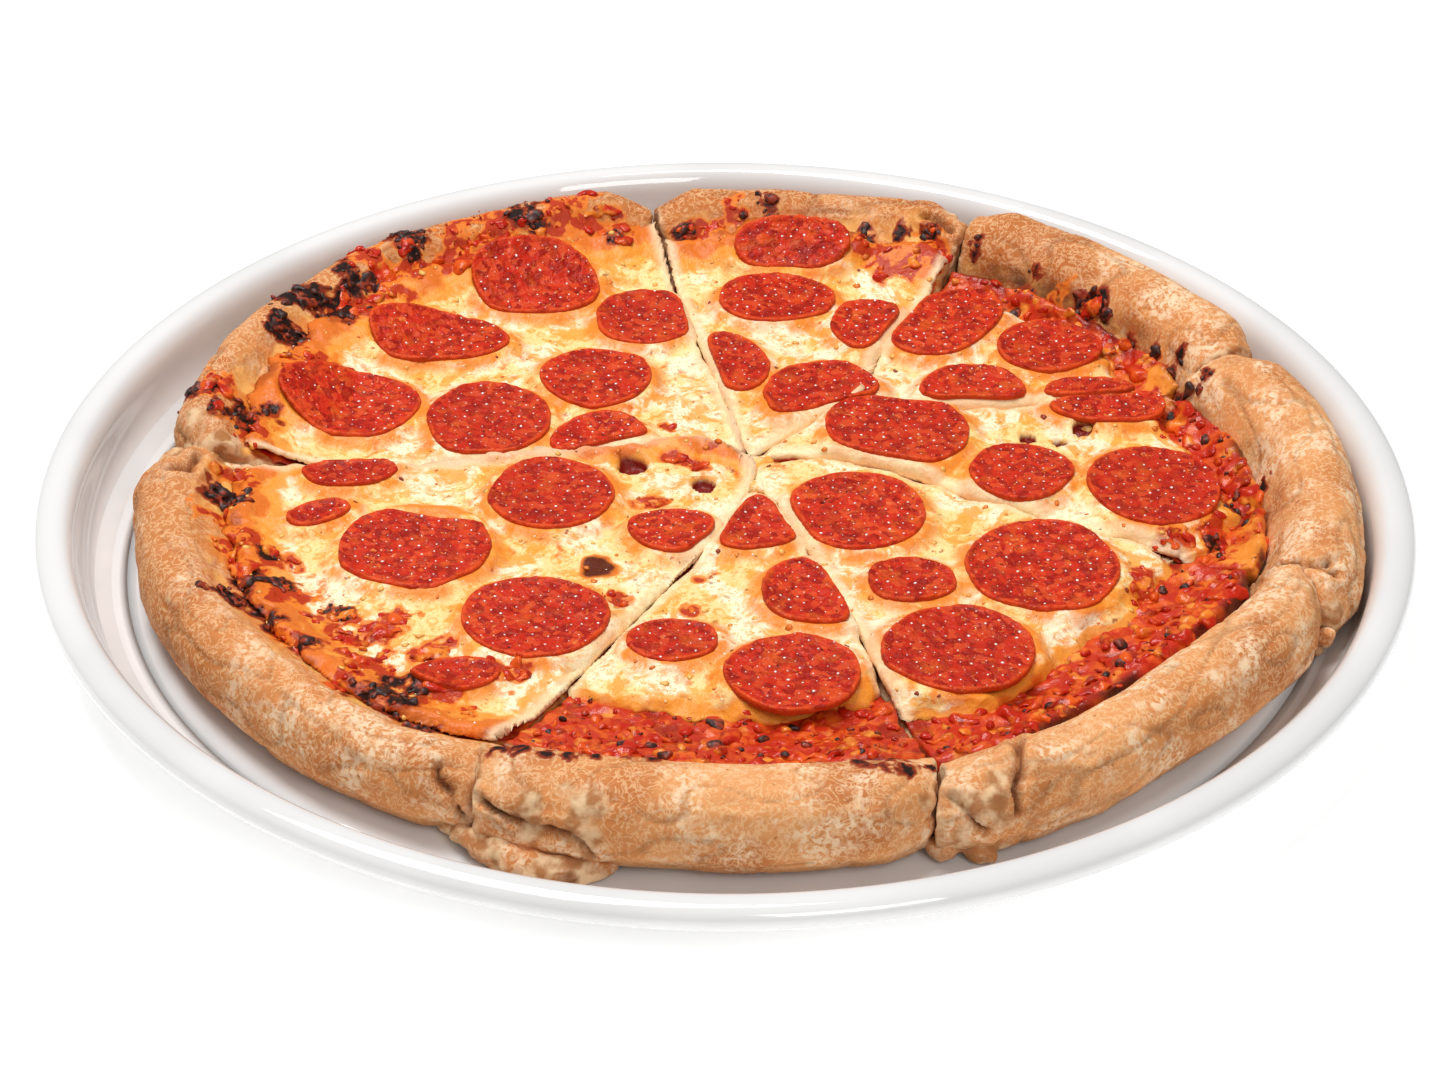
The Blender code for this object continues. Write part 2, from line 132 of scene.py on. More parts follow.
def read_normals(piece):
    mesh = piece.data
    normals = np.empty(len(mesh.vertices) * 3, dtype=np.float32)
    mesh.vertex_normals.foreach_get("vector", normals)
    return normals.reshape(-1, 3).astype(float)


def write_points(piece, points):
    piece.data.vertices.foreach_set("co", points.astype(np.float32).ravel())
    piece.data.update()


def store(piece, name, values):
    """Keep one number per point on the mesh, for the material to read."""
    layer = piece.data.attributes.new(name, "FLOAT", "POINT")
    layer.data.foreach_set("value", np.clip(values, 0, 1).astype(np.float32))


def fade(values, low, high):
    """0 where values are below low, 1 above high, and smooth between."""
    share = np.clip((values - low) / (high - low), 0, 1)
    return share * share * (3 - 2 * share)


# %% [markdown]
# ## Hills
#
# All relief comes from one smooth noise. A lattice of cells gets a number at each corner from a
# hash, and a point takes the blend of its eight corners. It needs no random generator, so the same
# point always gets the same height.

# %% Smooth noise
TURN = np.array(Matrix.Rotation(0.7, 3, "X") @ Matrix.Rotation(0.5, 3, "Z"))


def hills(points, size, seed=0):
    """Noise from -1 to 1 whose hills are about a size across."""
    placed = points @ TURN / size + seed * 11.7
    cell = np.floor(placed).astype(np.int64)
    share = placed - cell
    share = share * share * (3 - 2 * share)
    total = np.zeros(len(points))
    for corner in itertools.product((0, 1), repeat=3):
        x, y, z = (cell + corner).T
        mixed = (x * 73856093) ^ (y * 19349663) ^ (z * 83492791)
        mixed = ((mixed ^ (mixed >> 13)) * 1274126177) & 0x7FFFFFFF
        height = ((mixed ^ (mixed >> 15)) & 0xFFFF) / 32767.5 - 1
        total += height * np.prod(np.where(corner, share, 1 - share), axis=1)
    return total


def rough_hills(points, size, seed=0, octaves=3):
    """Hills with smaller hills on them."""
    return sum(hills(points, size / 2 ** i, seed + i) / 2 ** i for i in range(octaves))


# %% [markdown]
# ## Where things are on the pizza
#
# Browning, grease and crumb depend on the place: how far in from the outer edge a point lies, how
# near it is to a knife cut, and how near to a piece of sausage. The oval and the cuts are the same
# as in the solids, in millimetres.

# %% The oval, the crusts and the cuts
MIDDLE = np.array([6, 3]) * MM
HALF_WIDTH, HALF_DEPTH = 168.5 * MM, 160 * MM

# Width of the roll, run of its inner slope and width of bare sauce, in millimetres
CRUSTS = {"a": (20, 15, 0), "b": (24, 4, 8), "c": (29, 4, 10), "d": (26, 4, 19), "e": (27, 3, 29),
          "f": (23, 14, 0), "g": (18, 19, 0)}

CROSSING, TEE, LOWER_CROSSING = (7, 23), (39, 52), (8, 11)
CUTS = [
    [CROSSING, (4, 33), (-2, 60), (-8, 84), (-14, 112), (-19, 132), (-24, 155)],
    [CROSSING, (17, 34), (28, 44), TEE, (43, 73), (50, 91), (61, 112), (72, 132), (80, 153)],
    [TEE, (60, 50.5), (85, 50.5), (108, 53), (131, 57), (146, 63), (160, 70)],
    [CROSSING, (24, 24), (51, 15), (74, -1), (98, -12), (122, -24), (141, -36), (159, -59)],
    [CROSSING, LOWER_CROSSING, (14, -3), (23, -27), (33, -55), (40, -82), (48, -107), (53, -128),
     (52, -150)],
    [LOWER_CROSSING, (2, -11), (-10, -34), (-25, -60), (-40, -87), (-53, -110), (-60, -127),
     (-60, -140), (-66, -152)],
    [CROSSING, (-8, 27), (-25, 26), (-45, 20), (-80, 17), (-118, 14), (-140, 11.5), (-160, 12)],
]


def inwards(points):
    """How far points lie inside the pizza's outer oval, seen from above."""
    away = points[:, :2] - MIDDLE
    distance = np.hypot(*away.T)
    unit = away / np.maximum(distance, 1e-9)[:, None]
    return 1 / np.hypot(unit[:, 0] / HALF_WIDTH, unit[:, 1] / HALF_DEPTH) - distance


def along_rim(points):
    """The same points unrolled: along the rim, inwards, and up."""
    away = points[:, :2] - MIDDLE
    bearing = np.arctan2(away[:, 1], away[:, 0])
    radius = (HALF_WIDTH + HALF_DEPTH) / 2
    return np.column_stack([bearing * radius, inwards(points), points[:, 2]])


RIM_STEP = 2.5 * MM


def outer_edge(points):
    """A piece's outermost line: places along the rim, and how far in the line lies at each."""
    along, inward, _ = along_rim(points).T
    bins = np.floor(along / RIM_STEP).astype(int)
    first = bins.min()
    outermost = np.full(bins.max() - first + 1, np.inf)
    np.minimum.at(outermost, bins - first, inward)
    filled = np.flatnonzero(np.isfinite(outermost))
    return (filled + first + 0.5) * RIM_STEP, outermost[filled]


def from_edge(points, line=None):
    """How far points lie in from an outermost line, or else from that of their own piece."""
    along, inward, _ = along_rim(points).T
    return inward - np.interp(along, *(line or outer_edge(points)))


def outward(points):
    """Unit directions away from the pizza's middle, level with the table."""
    away = points - [*MIDDLE, 0]
    away[:, 2] = 0
    return away / np.maximum(np.hypot(away[:, 0], away[:, 1]), 1e-9)[:, None]


def from_lines(points, lines):
    """Distance from the nearest of some lines, each given by its corners in millimetres."""
    nearest = np.full(len(points), 1.0)
    for line in lines:
        corners = np.array(line) * MM
        for start, end in zip(corners, corners[1:]):
            reach = end - start
            share = np.clip((points - start) @ reach / (reach @ reach), 0, 1)
            away = points - start - share[:, None] * reach
            nearest = np.minimum(nearest, np.linalg.norm(away, axis=1))
    return nearest


def from_cut(points):
    """Distance from the nearest knife cut, seen from above."""
    return from_lines(points[:, :2], CUTS)


# %% How near the sausage is
def plan_outline(node):
    """A node's outline seen from above: its corners, and the outward normals of its sides."""
    plan = [vertex.co.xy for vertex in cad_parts[node].data.vertices]
    corners = np.array([plan[i] for i in convex_hull_2d(plan)])
    sides = np.roll(corners, -1, axis=0) - corners
    normals = np.column_stack([sides[:, 1], -sides[:, 0]])
    length = np.hypot(*normals.T)
    kept = length > 1 * MM
    corners, normals = corners[kept], normals[kept] / length[kept, None]
    if ((corners.mean(axis=0) - corners[0]) @ normals[0]) > 0:
        normals = -normals
    return corners, normals


SAUSAGE_OUTLINES = {name: plan_outline(name) for name in SAUSAGES}
FAR = 30 * MM


def outside(points, outline):
    """Distance outside an outline seen from above, negative inside it."""
    corners, normals = outline
    return np.max(points[:, :2] @ normals.T - np.sum(corners * normals, axis=1), axis=1)


def from_sausage(points):
    """Distance from the nearest piece of sausage, negative under it."""
    nearest = np.full(len(points), FAR)
    for outline in SAUSAGE_OUTLINES.values():
        low, high = outline[0].min(axis=0) - FAR, outline[0].max(axis=0) + FAR
        near = np.all((points[:, :2] > low) & (points[:, :2] < high), axis=1)
        nearest[near] = np.minimum(nearest[near], outside(points[near], outline))
    return nearest


print("nearest sausage to the middle:", round(from_sausage(np.zeros((1, 3)))[0] / MM, 1), "mm")

# %% [markdown]
# ## Mixing a finish
#
# Each food's material is layered as a painter would do it: a ground colour, then patches, stains
# and specks on top, each through a mask. The class below holds the material and has one method for
# each kind of layer, so that a finish reads as a list of what is seen on the food.

# %% The finish
def paint(red, green, blue):
    """A colour as seen on screen, 0 to 255, turned into the linear one that a shader needs."""
    def linear(value):
        value /= 255
        return value / 12.92 if value <= 0.04045 else ((value + 0.055) / 1.055) ** 2.4
    return (linear(red), linear(green), linear(blue), 1)


class Finish:
    """A material being mixed. Each method adds nodes and gives the socket with the result."""

    def __init__(self, name, roughness):
        self.material = bpy.data.materials.new(name)
        self.material.use_nodes = True
        self.tree = self.material.node_tree
        self.shader = self.tree.nodes["Principled BSDF"]
        self.shader.inputs["Roughness"].default_value = roughness
        self.place = self.add("ShaderNodeTexCoord").outputs["Object"]

    def add(self, kind, **settings):
        node = self.tree.nodes.new(kind)
        for key, value in settings.items():
            setattr(node, key, value)
        return node

    def feed(self, socket, value):
        if isinstance(value, bpy.types.NodeSocket):
            self.tree.links.new(value, socket)
        else:
            socket.default_value = value

    def stored(self, name):
        """A number that the shaping left on the mesh."""
        return self.add("ShaderNodeAttribute", attribute_name=name).outputs["Fac"]

    def noise(self, size, detail=2.0, rough=0.5, warp=0.0, shift=0.0):
        """Cloudy noise from 0 to 1 with patches about a size across, in millimetres."""
        node = self.add("ShaderNodeTexNoise", noise_dimensions="4D")
        self.feed(node.inputs["Vector"], self.place)
        self.feed(node.inputs["W"], shift)
        self.feed(node.inputs["Scale"], 1 / (size * MM))
        self.feed(node.inputs["Detail"], detail)
        self.feed(node.inputs["Roughness"], rough)
        self.feed(node.inputs["Distortion"], warp)
        return node.outputs["Fac"]

    def cells(self, size, result="Distance"):
        """Cells about a size across: the distance from the middle of each, or its own colour."""
        node = self.add("ShaderNodeTexVoronoi")
        self.feed(node.inputs["Vector"], self.place)
        self.feed(node.inputs["Scale"], 1 / (size * MM))
        return node.outputs[result]

    def sums(self, operation, first, second):
        node = self.add("ShaderNodeMath", operation=operation)
        self.feed(node.inputs[0], first)
        self.feed(node.inputs[1], second)
        return node.outputs[0]

    def mask(self, value, low, high, most=1.0):
        """0 where a value is below low, most where it is above high. Swapped, it turns round."""
        node = self.add("ShaderNodeMapRange", interpolation_type="SMOOTHSTEP")
        self.feed(node.inputs["Value"], value)
        turned = low > high
        self.feed(node.inputs["From Min"], high if turned else low)
        self.feed(node.inputs["From Max"], low if turned else high)
        self.feed(node.inputs["To Min"], most if turned else 0.0)
        self.feed(node.inputs["To Max"], 0.0 if turned else most)
        return node.outputs["Result"]

    def times(self, first, second):
        return self.sums("MULTIPLY", first, second)

    def over(self, ground, colour, share):
        """A colour laid over the ground where share is 1."""
        node = self.add("ShaderNodeMix", data_type="RGBA")
        self.feed(node.inputs[0], share)
        self.feed(node.inputs[6], ground)
        self.feed(node.inputs[7], colour)
        return node.outputs[2]

    def cloudy(self, size, low, high, most=1.0, within=None, **noise):
        """The share of a layer that lies in cloudy patches, perhaps only within another share."""
        share = self.mask(self.noise(size, **noise), low, high, most)
        return share if within is None else self.times(within, share)

    def patches(self, ground, colour, *cloud, **noise):
        """A colour laid over the ground in cloudy patches."""
        return self.over(ground, colour, self.cloudy(*cloud, **noise))

    def surface(self, colour, **settings):
        """The finished colour, and settings of the shader with _ for the spaces in their names."""
        self.feed(self.shader.inputs["Base Color"], colour)
        for name, value in settings.items():
            self.feed(self.shader.inputs[name.replace("_", " ")], value)

    def bumps(self, *layers):
        """Fine relief: pairs of a height and how many millimetres deep it is."""
        normal = None
        for height, depth in layers:
            node = self.add("ShaderNodeBump")
            self.feed(node.inputs["Strength"], 1)
            self.feed(node.inputs["Distance"], depth * MM)
            self.feed(node.inputs["Height"], height)
            if normal:
                self.feed(node.inputs["Normal"], normal)
            normal = node.outputs["Normal"]
        self.feed(self.shader.inputs["Normal"], normal)


# %% [markdown]
# ## The dish
#
# A potter turns such a dish on a wheel, so its form is one section carried round a circle. Geometry
# Nodes do the same: Curve to Mesh sweeps the section along a circle. The section is a smooth curve
# through a few points, because the glaze rounds every edge.

# %% The dish's section
# Radius and height in millimetres, from the middle of the underside round to the middle of the floor
DISH_SECTION = [(0, 1), (80, 1), (146, 1), (149, 0.9), (150.5, 0.2), (153, 0), (155.5, 0.2),
                (159, 1.5), (168, 4.6), (178, 11), (183.2, 16.6), (185.5, 18.3), (188.4, 19.2),
                (189.9, 21.4), (189.2, 24), (187, 25.3), (184.5, 25.6), (181.8, 25), (179.9, 23.2),
                (178.6, 20.5), (178, 17), (177.1, 12.4), (174.5, 8.5), (170.6, 5.9), (166, 5),
                (160, 5), (80, 5), (0, 5)]
SWEEP_STEPS = 224


def smooth_curve(points, spacing):
    """Points of a Catmull-Rom curve through the given ones, closer than a spacing."""
    knots = [Vector(point) for point in points]
    knots = [2 * knots[0] - knots[1]] + knots + [2 * knots[-1] - knots[-2]]
    path = []
    for before, start, end, after in zip(knots, knots[1:], knots[2:], knots[3:]):
        steps = min(4, max(1, math.ceil((end - start).length / spacing)))
        for i in range(steps):
            t = i / steps
            path.append(0.5 * (2 * start + (end - before) * t
                               + (2 * before - 5 * start + 4 * end - after) * t ** 2
                               + (3 * start - before - 3 * end + after) * t ** 3))
    return path + [knots[-2]]


def section_curve(points, name):
    """The dish's half section as a curve. Curve to Mesh hangs it from its path, so height is down."""
    curve = bpy.data.curves.new(name, "CURVE")
    curve.dimensions = "3D"
    spline = curve.splines.new("POLY")
    spline.points.add(len(points) - 1)
    for target, (radius, height) in zip(spline.points, points):
        target.co = (radius * MM, -height * MM, 0, 1)
    return curve


# %% Helpers for Geometry Nodes
def new_tree(name, **inputs):
    """A geometry tree with named inputs; each is given as its socket kind and first value."""
    tree = bpy.data.node_groups.new(name, "GeometryNodeTree")
    tree.interface.new_socket("Geometry", in_out="INPUT", socket_type="NodeSocketGeometry")
    tree.interface.new_socket("Geometry", in_out="OUTPUT", socket_type="NodeSocketGeometry")
    for label, (kind, value) in inputs.items():
        socket = tree.interface.new_socket(label, in_out="INPUT", socket_type="NodeSocket" + kind)
        if value is not None:
            socket.default_value = value
    return tree


def in_use(sockets, key):
    """The socket with a name or number that the node's settings leave switched on."""
    if isinstance(key, int):
        return sockets[key]
    return next(socket for socket in sockets if socket.name == key and socket.enabled)


def place_node(tree, kind, links=(), **settings):
    """Add a node; links pairs an input, by name or number, with a socket or a value."""
    node = tree.nodes.new(kind)
    for key, value in settings.items():
        setattr(node, key, value)
    for key, value in dict(links).items():
        if isinstance(value, bpy.types.NodeSocket):
            tree.links.new(value, in_use(node.inputs, key))
        else:
            in_use(node.inputs, key).default_value = value
    return node


def placed_value(tree, kind, links=(), result="Value", **settings):
    """Add a node that works out a value, and give that value's socket."""
    return in_use(place_node(tree, kind, links, **settings).outputs, result)


def grown(name, host, tree, **values):
    """A new plain mesh piece: what a tree, with its inputs set, makes of a host, which then goes."""
    modifier = host.modifiers.new(tree.name, "NODES")
    modifier.node_group = tree
    for item in tree.interface.items_tree:
        if item.item_type == "SOCKET" and item.in_out == "INPUT" and item.name in values:
            modifier[item.identifier] = values[item.name]
    evaluated = host.evaluated_get(bpy.context.evaluated_depsgraph_get())
    piece = new_piece(name, bpy.data.meshes.new_from_object(evaluated))
    piece.data.name = name
    bpy.data.objects.remove(host, do_unlink=True)
    return piece


# %% A tree that sweeps a section round a circle
HUB = 10 * MM


def turning_tree():
    """A section swept round a small circle, with its inner end moved back onto the axis."""
    tree = new_tree("Turn on a wheel", Steps=("Int", SWEEP_STEPS), Hub=("Float", HUB),
                    Material=("Material", None))
    given = place_node(tree, "NodeGroupInput").outputs
    circle = place_node(tree, "GeometryNodeCurvePrimitiveCircle",
                        {"Resolution": given["Steps"], "Radius": given["Hub"]})
    back = place_node(tree, "ShaderNodeMath", {0: given["Hub"], 1: -1.0}, operation="MULTIPLY")
    shift = place_node(tree, "ShaderNodeCombineXYZ", {"X": back.outputs[0]})
    moved = place_node(tree, "GeometryNodeSetPosition",
                       {"Geometry": given["Geometry"], "Offset": shift.outputs["Vector"]})
    swept = place_node(tree, "GeometryNodeCurveToMesh",
                       {"Curve": circle.outputs["Curve"], "Profile Curve": moved.outputs["Geometry"]})
    merged = place_node(tree, "GeometryNodeMergeByDistance",
                        {"Geometry": swept.outputs["Mesh"], "Distance": TOUCHING})
    smooth = place_node(tree, "GeometryNodeSetShadeSmooth", {"Geometry": merged.outputs["Geometry"]})
    real = place_node(tree, "GeometryNodeRealizeInstances", {"Geometry": smooth.outputs["Geometry"]})
    named = place_node(tree, "GeometryNodeSetMaterial",
                       {"Geometry": real.outputs["Geometry"], "Material": given["Material"]})
    out = place_node(tree, "NodeGroupOutput")
    tree.links.new(named.outputs["Geometry"], out.inputs[0])
    return tree


# %% The glaze and the finished dish
def facing_outwards(piece):
    """Turn every face of a closed mesh to face out."""
    fixed = bmesh.new()
    fixed.from_mesh(piece.data)
    bmesh.ops.recalc_face_normals(fixed, faces=fixed.faces)
    fixed.to_mesh(piece.data)
    fixed.free()


def white_glaze():
    """A nearly even white under a thin clear coat."""
    glaze = Finish("white_glaze", 0.16)
    colour = glaze.patches(paint(236, 235, 234), paint(229, 228, 227), 60, 0.4, 0.62)
    glaze.surface(colour, Roughness=glaze.cloudy(25, 0.3, 0.7, 0.06), Coat_Weight=0.4, Coat_Roughness=0.05)
    glaze.bumps((glaze.noise(14, detail=1), 0.05))
    return glaze.material


section = smooth_curve(DISH_SECTION, 2.5)
dish_host = new_piece("dish_section", section_curve(section, "dish_section"))
dish = grown("dish_turned", dish_host, turning_tree(), Material=white_glaze())
facing_outwards(dish)
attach(dish, "root")
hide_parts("dish")
print("dish section:", len(section), "points,", len(dish.data.polygons), "faces, box",
      [round(side / MM, 1) for side in dish.dimensions])

# %% [markdown]
# ## The crust
#
# A rolled edge of dough swells unevenly in the oven. Its skin dries to a matt tan, browner in
# patches and towards the back, with dustings of flour that the heat left pale. Where the knife
# went through, the skin stops and the torn white crumb shows. Each slice's solid is remeshed,
# swollen, wrinkled along the rim, pitted, and roughened at its cut ends. Lists of places say where
# it cracked, where bubbles burnt and where sauce boiled up onto it.

# %% Shape the dough
DOUGH_VOXEL = 1.15 * MM
DISH_FLOOR, CRUST_TOP = 5 * MM, 30 * MM
# Cracks in the skin, in millimetres: a torn ledge at the front, seams and folds near the cut ends
CRACKS = [
    [(-59, -143, 21.8), (-55, -147, 21.2), (-51, -150.4, 21.3), (-47, -152, 19.7), (-42, -152.8, 19.9),
     (-38, -153.7, 19.4), (-34.5, -154.3, 16.8), (-32, -154.5, 13)],
    [(71.5, -118, 26), (72.3, -129, 29.3), (72.7, -137, 29.1), (71, -142.6, 25.8), (72, -145, 20)],
    [(53.9, -144.2, 23.9), (58, -146.3, 21.8), (63.7, -147.8, 17.5)],
    [(-69.3, -134.3, 25.8), (-67.7, -137.6, 22.2), (-64, -139.4, 12.8)],
    [(144, -40, 22), (151, -43.4, 24.4), (157, -45.6, 27.9), (162, -49.4, 26.4)],
    [(160.9, -45.4, 28.4), (156, -51, 22.5), (157.6, -54, 17.6)],
    [(76, 150, 26), (69, 134.9, 28.6), (65.4, 138.7, 30.1), (61.5, 141.5, 31)],
    [(-146.6, 6.6, 26), (-147.9, -3.5, 27.4), (-154.5, -4.8, 28.2)],
]


def scorched(points, spots, rough=0.75):
    """How burnt points are: 1 in the middle of a spot, fading and ragged towards its edge."""
    burnt = np.zeros(len(points))
    ragged = rough * rough_hills(points, 5 * MM, seed=41)
    for x, y, size in spots:
        away = np.hypot(points[:, 0] - x * MM, points[:, 1] - y * MM) / (size * MM)
        burnt = np.maximum(burnt, fade(1.25 - away + ragged, 0.1, 0.75) * (away < 2))
    return burnt


# Places in millimetres and a radius: bubbles and crumbs that the oven blackened
BURNT = [(-140, -8, 6), (-128, -50, 6), (-129, -60, 6), (-122, -62, 4), (-117, -68, 4), (-109, -77, 5),
         (-102, -56, 4), (-79, -92, 7), (-85, -96, 7), (-92, -98, 6), (-82, -104, 5), (-73, -113, 5),
         (-124, -31, 4), (-117, -47, 4), (-123, 91, 9), (-118, 88, 7), (-113, 102, 7), (-129, 74, 6),
         (-64, 142, 7), (-97, 124, 6), (-151, 36, 5), (-137, 29, 8), (-132, 33, 6), (-36, 136, 3),
         (11, 150, 4), (45, 140, 3), (54, 139, 3), (63, 137, 3), (-14, 142, 3), (94, 115, 3),
         (106, 103, 3), (112, 98, 4), (120, 84, 4), (126, 78, 3), (131, 70, 4), (77, 130, 3),
         (135, 53, 4), (140, 34, 3), (137, 37, 3), (143, 22, 3), (144, 7, 3), (149, 5, 3),
         (142, -2, 3), (135, -20, 4), (135, -33, 4), (-55, -131, 3), (-49, -133, 3), (-43, -134, 3),
         (-37, -135, 3), (-31, -135, 2.6), (-24, -136, 2.6), (-17, -136, 2.4), (34, -137, 3), (40, -137, 4),
         (46, -136, 4), (51, -134, 3)]
# And places where sauce and fat boiled up through the cheese
SPILT = [(-142, -19, 6), (-136, 5, 6), (-131, -29, 7), (-127, -43, 6), (-121, -35, 6), (-115, -52, 7),
         (-110, -74, 6), (-100, -71, 8), (-91, -63, 8), (-85, -58, 5), (-90, -83, 8), (-96, -93, 6),
         (-76, -79, 8), (-67, -87, 8), (-58, -87, 8), (-71, -97, 8), (-104, -61, 6), (-105, 110, 9),
         (-101, 100, 7), (-110, 95, 7), (-97, 115, 7), (-70, 136, 9), (-46, 145, 8), (-41, 142, 7),
         (-33, 142, 6), (-84, 123, 8), (-120, 60, 8), (-146, 38, 7), (-135, 24, 7), (-55, 142, 7),
         (-79, 129, 7), (2, 148, 6), (-8, 142, 6), (-2, 143, 6), (45, 133, 6), (54, 126, 7),
         (62, 132, 6), (66, 125, 4), (109, 99, 4), (118, 80, 6), (125, 69, 7), (101, 107, 4),
         (126, 44, 5), (131, 42, 6), (133, -16, 7), (125, -24, 7), (115, -42, 8), (128, -40, 7),
         (121, -22, 6), (-19, 36, 4), (-15, 20, 4), (-7, 15, 4), (-28, -50, 4), (-7, -41, 3),
         (-4, 25, 3), (-21, -1, 4), (-9, -55, 3)]
# How far in from the roll's edge its burnt line runs, on the slices that have one, in millimetres
BURNT_LINES = {"b": 1.5, "c": 1.5}
# Torn ends where the pale crumb shows
PALE_ENDS = [(-152, 15, 8), (-141, 13, 6), (-34, -152, 5), (-46, -149, 3), (55, -143, 6), (65, -143, 5),
             (72, 142, 4), (160, -60, 4)]

crust_lines = {}


def bake_dough(letter):
    """One slice's dough, swollen, torn and cracked, with what its colours need stored on it."""
    width, run, _ = (value * MM for value in CRUSTS[letter])
    piece = even_copy("dough_" + letter, "crust_" + letter, DOUGH_VOXEL, 5)
    points, normals = read_points(piece), read_normals(piece)
    crust_lines[letter] = outer_edge(points)
    rim, cut = along_rim(points), from_cut(points)
    rim[:, 1] = from_edge(points)
    skin = fade(points[:, 2], 6 * MM, 9 * MM)
    top = skin * fade(-rim[:, 1], -(width + run) - 2 * MM, -(width + run) + 2 * MM)
    stretched = rim / [2.6, 1, 1]
    swell = 0.8 * hills(points, 26 * MM, 1) + 0.45 * hills(points, 11 * MM, 2)
    folds = -np.abs(hills(stretched, 7 * MM, 3))
    wrinkle = -0.5 * fade(folds, -0.12, 0.0)
    fine = 0.16 * hills(stretched, 2.6 * MM, 4) + 0.1 * hills(points, 2.5 * MM, 5)
    pits = -0.5 * fade(hills(points, 3.2 * MM, 6), 0.62, 0.8)
    side = fade(-cut, -2.2 * MM, -1.1 * MM) * fade(-np.abs(normals[:, 2]), -0.8, -0.5)
    torn = 0.9 * hills(points, 5 * MM, 7) + 0.5 * hills(points, 2.5 * MM, 8)
    torn *= fade(-cut, -6 * MM, -1.2 * MM)
    torn += 0.6 * side
    split = from_lines(points + 1.1 * MM * hills(points, 4 * MM, 9)[:, None], CRACKS)
    crack = fade(-split, -1.7 * MM, -0.3 * MM)
    torn += 0.8 * np.exp(-((split - 3 * MM) / (1.3 * MM)) ** 2) - 2.6 * crack
    charred, spilt = scorched(points, BURNT) * top, scorched(points, SPILT) * top
    lift = top * (swell + wrinkle + fine + pits) + skin * torn + 0.5 * charred
    write_points(piece, points + normals * (lift * MM)[:, None])
    sloped = fade(rim[:, 1], width * 0.55, width + 1 * MM)
    greasy = sloped if run > 10 * MM else 0.35 * fade(rim[:, 1], width * 0.8, width + 2 * MM)
    lip = np.exp(-((rim[:, 1] - width - BURNT_LINES.get(letter, 0) * MM) / (1.4 * MM)) ** 2)
    lip *= letter in BURNT_LINES
    store(piece, "grease", greasy)
    store(piece, "lip", lip * fade(hills(points, 14 * MM, 10), -0.25, 0.35))
    store(piece, "sauced", fade(rim[:, 1], width - 1 * MM, width + 3 * MM))
    store(piece, "crumb", np.maximum(side, 0.9 * scorched(points, PALE_ENDS) * skin))
    store(piece, "charred", charred)
    store(piece, "spilt", spilt)
    far_side = fade(points[:, 1], 70 * MM, 125 * MM) * fade(-points[:, 0], -125 * MM, -90 * MM)
    store(piece, "toast", np.maximum(far_side, 0.7 * fade(-points[:, 0], 105 * MM, 150 * MM)))
    store(piece, "height", fade(points[:, 2], DISH_FLOOR, CRUST_TOP))
    # Painted shade: darker in the folds and cracks that the shaping dents into the skin
    store(piece, "painted_crease_shade", np.maximum(0.35 * fade(folds, -0.1, 0.0) * top, crack))
    return piece


# %% Colour the dough
def boiled_up(finish, colour):
    """Orange fat with red sauce in it, where the shaping stored a spill."""
    spill = finish.cloudy(4.5, 0.3, 0.62, within=finish.stored("spilt"), detail=5, shift=14)
    colour = finish.over(colour, paint(238, 128, 40), finish.mask(spill, 0.03, 0.25, 0.9))
    return finish.over(colour, paint(184, 42, 18), finish.mask(spill, 0.34, 0.66, 0.9))


def burnt_through(finish, colour, brown, black, shift):
    """Brown and then black, where the shaping stored a burnt spot."""
    char = finish.cloudy(3.5, 0.3, 0.6, within=finish.stored("charred"), detail=4, shift=shift)
    burnt = finish.over(brown, black, finish.mask(char, 0.4, 0.85))
    return finish.over(colour, burnt, finish.mask(char, 0.04, 0.4))


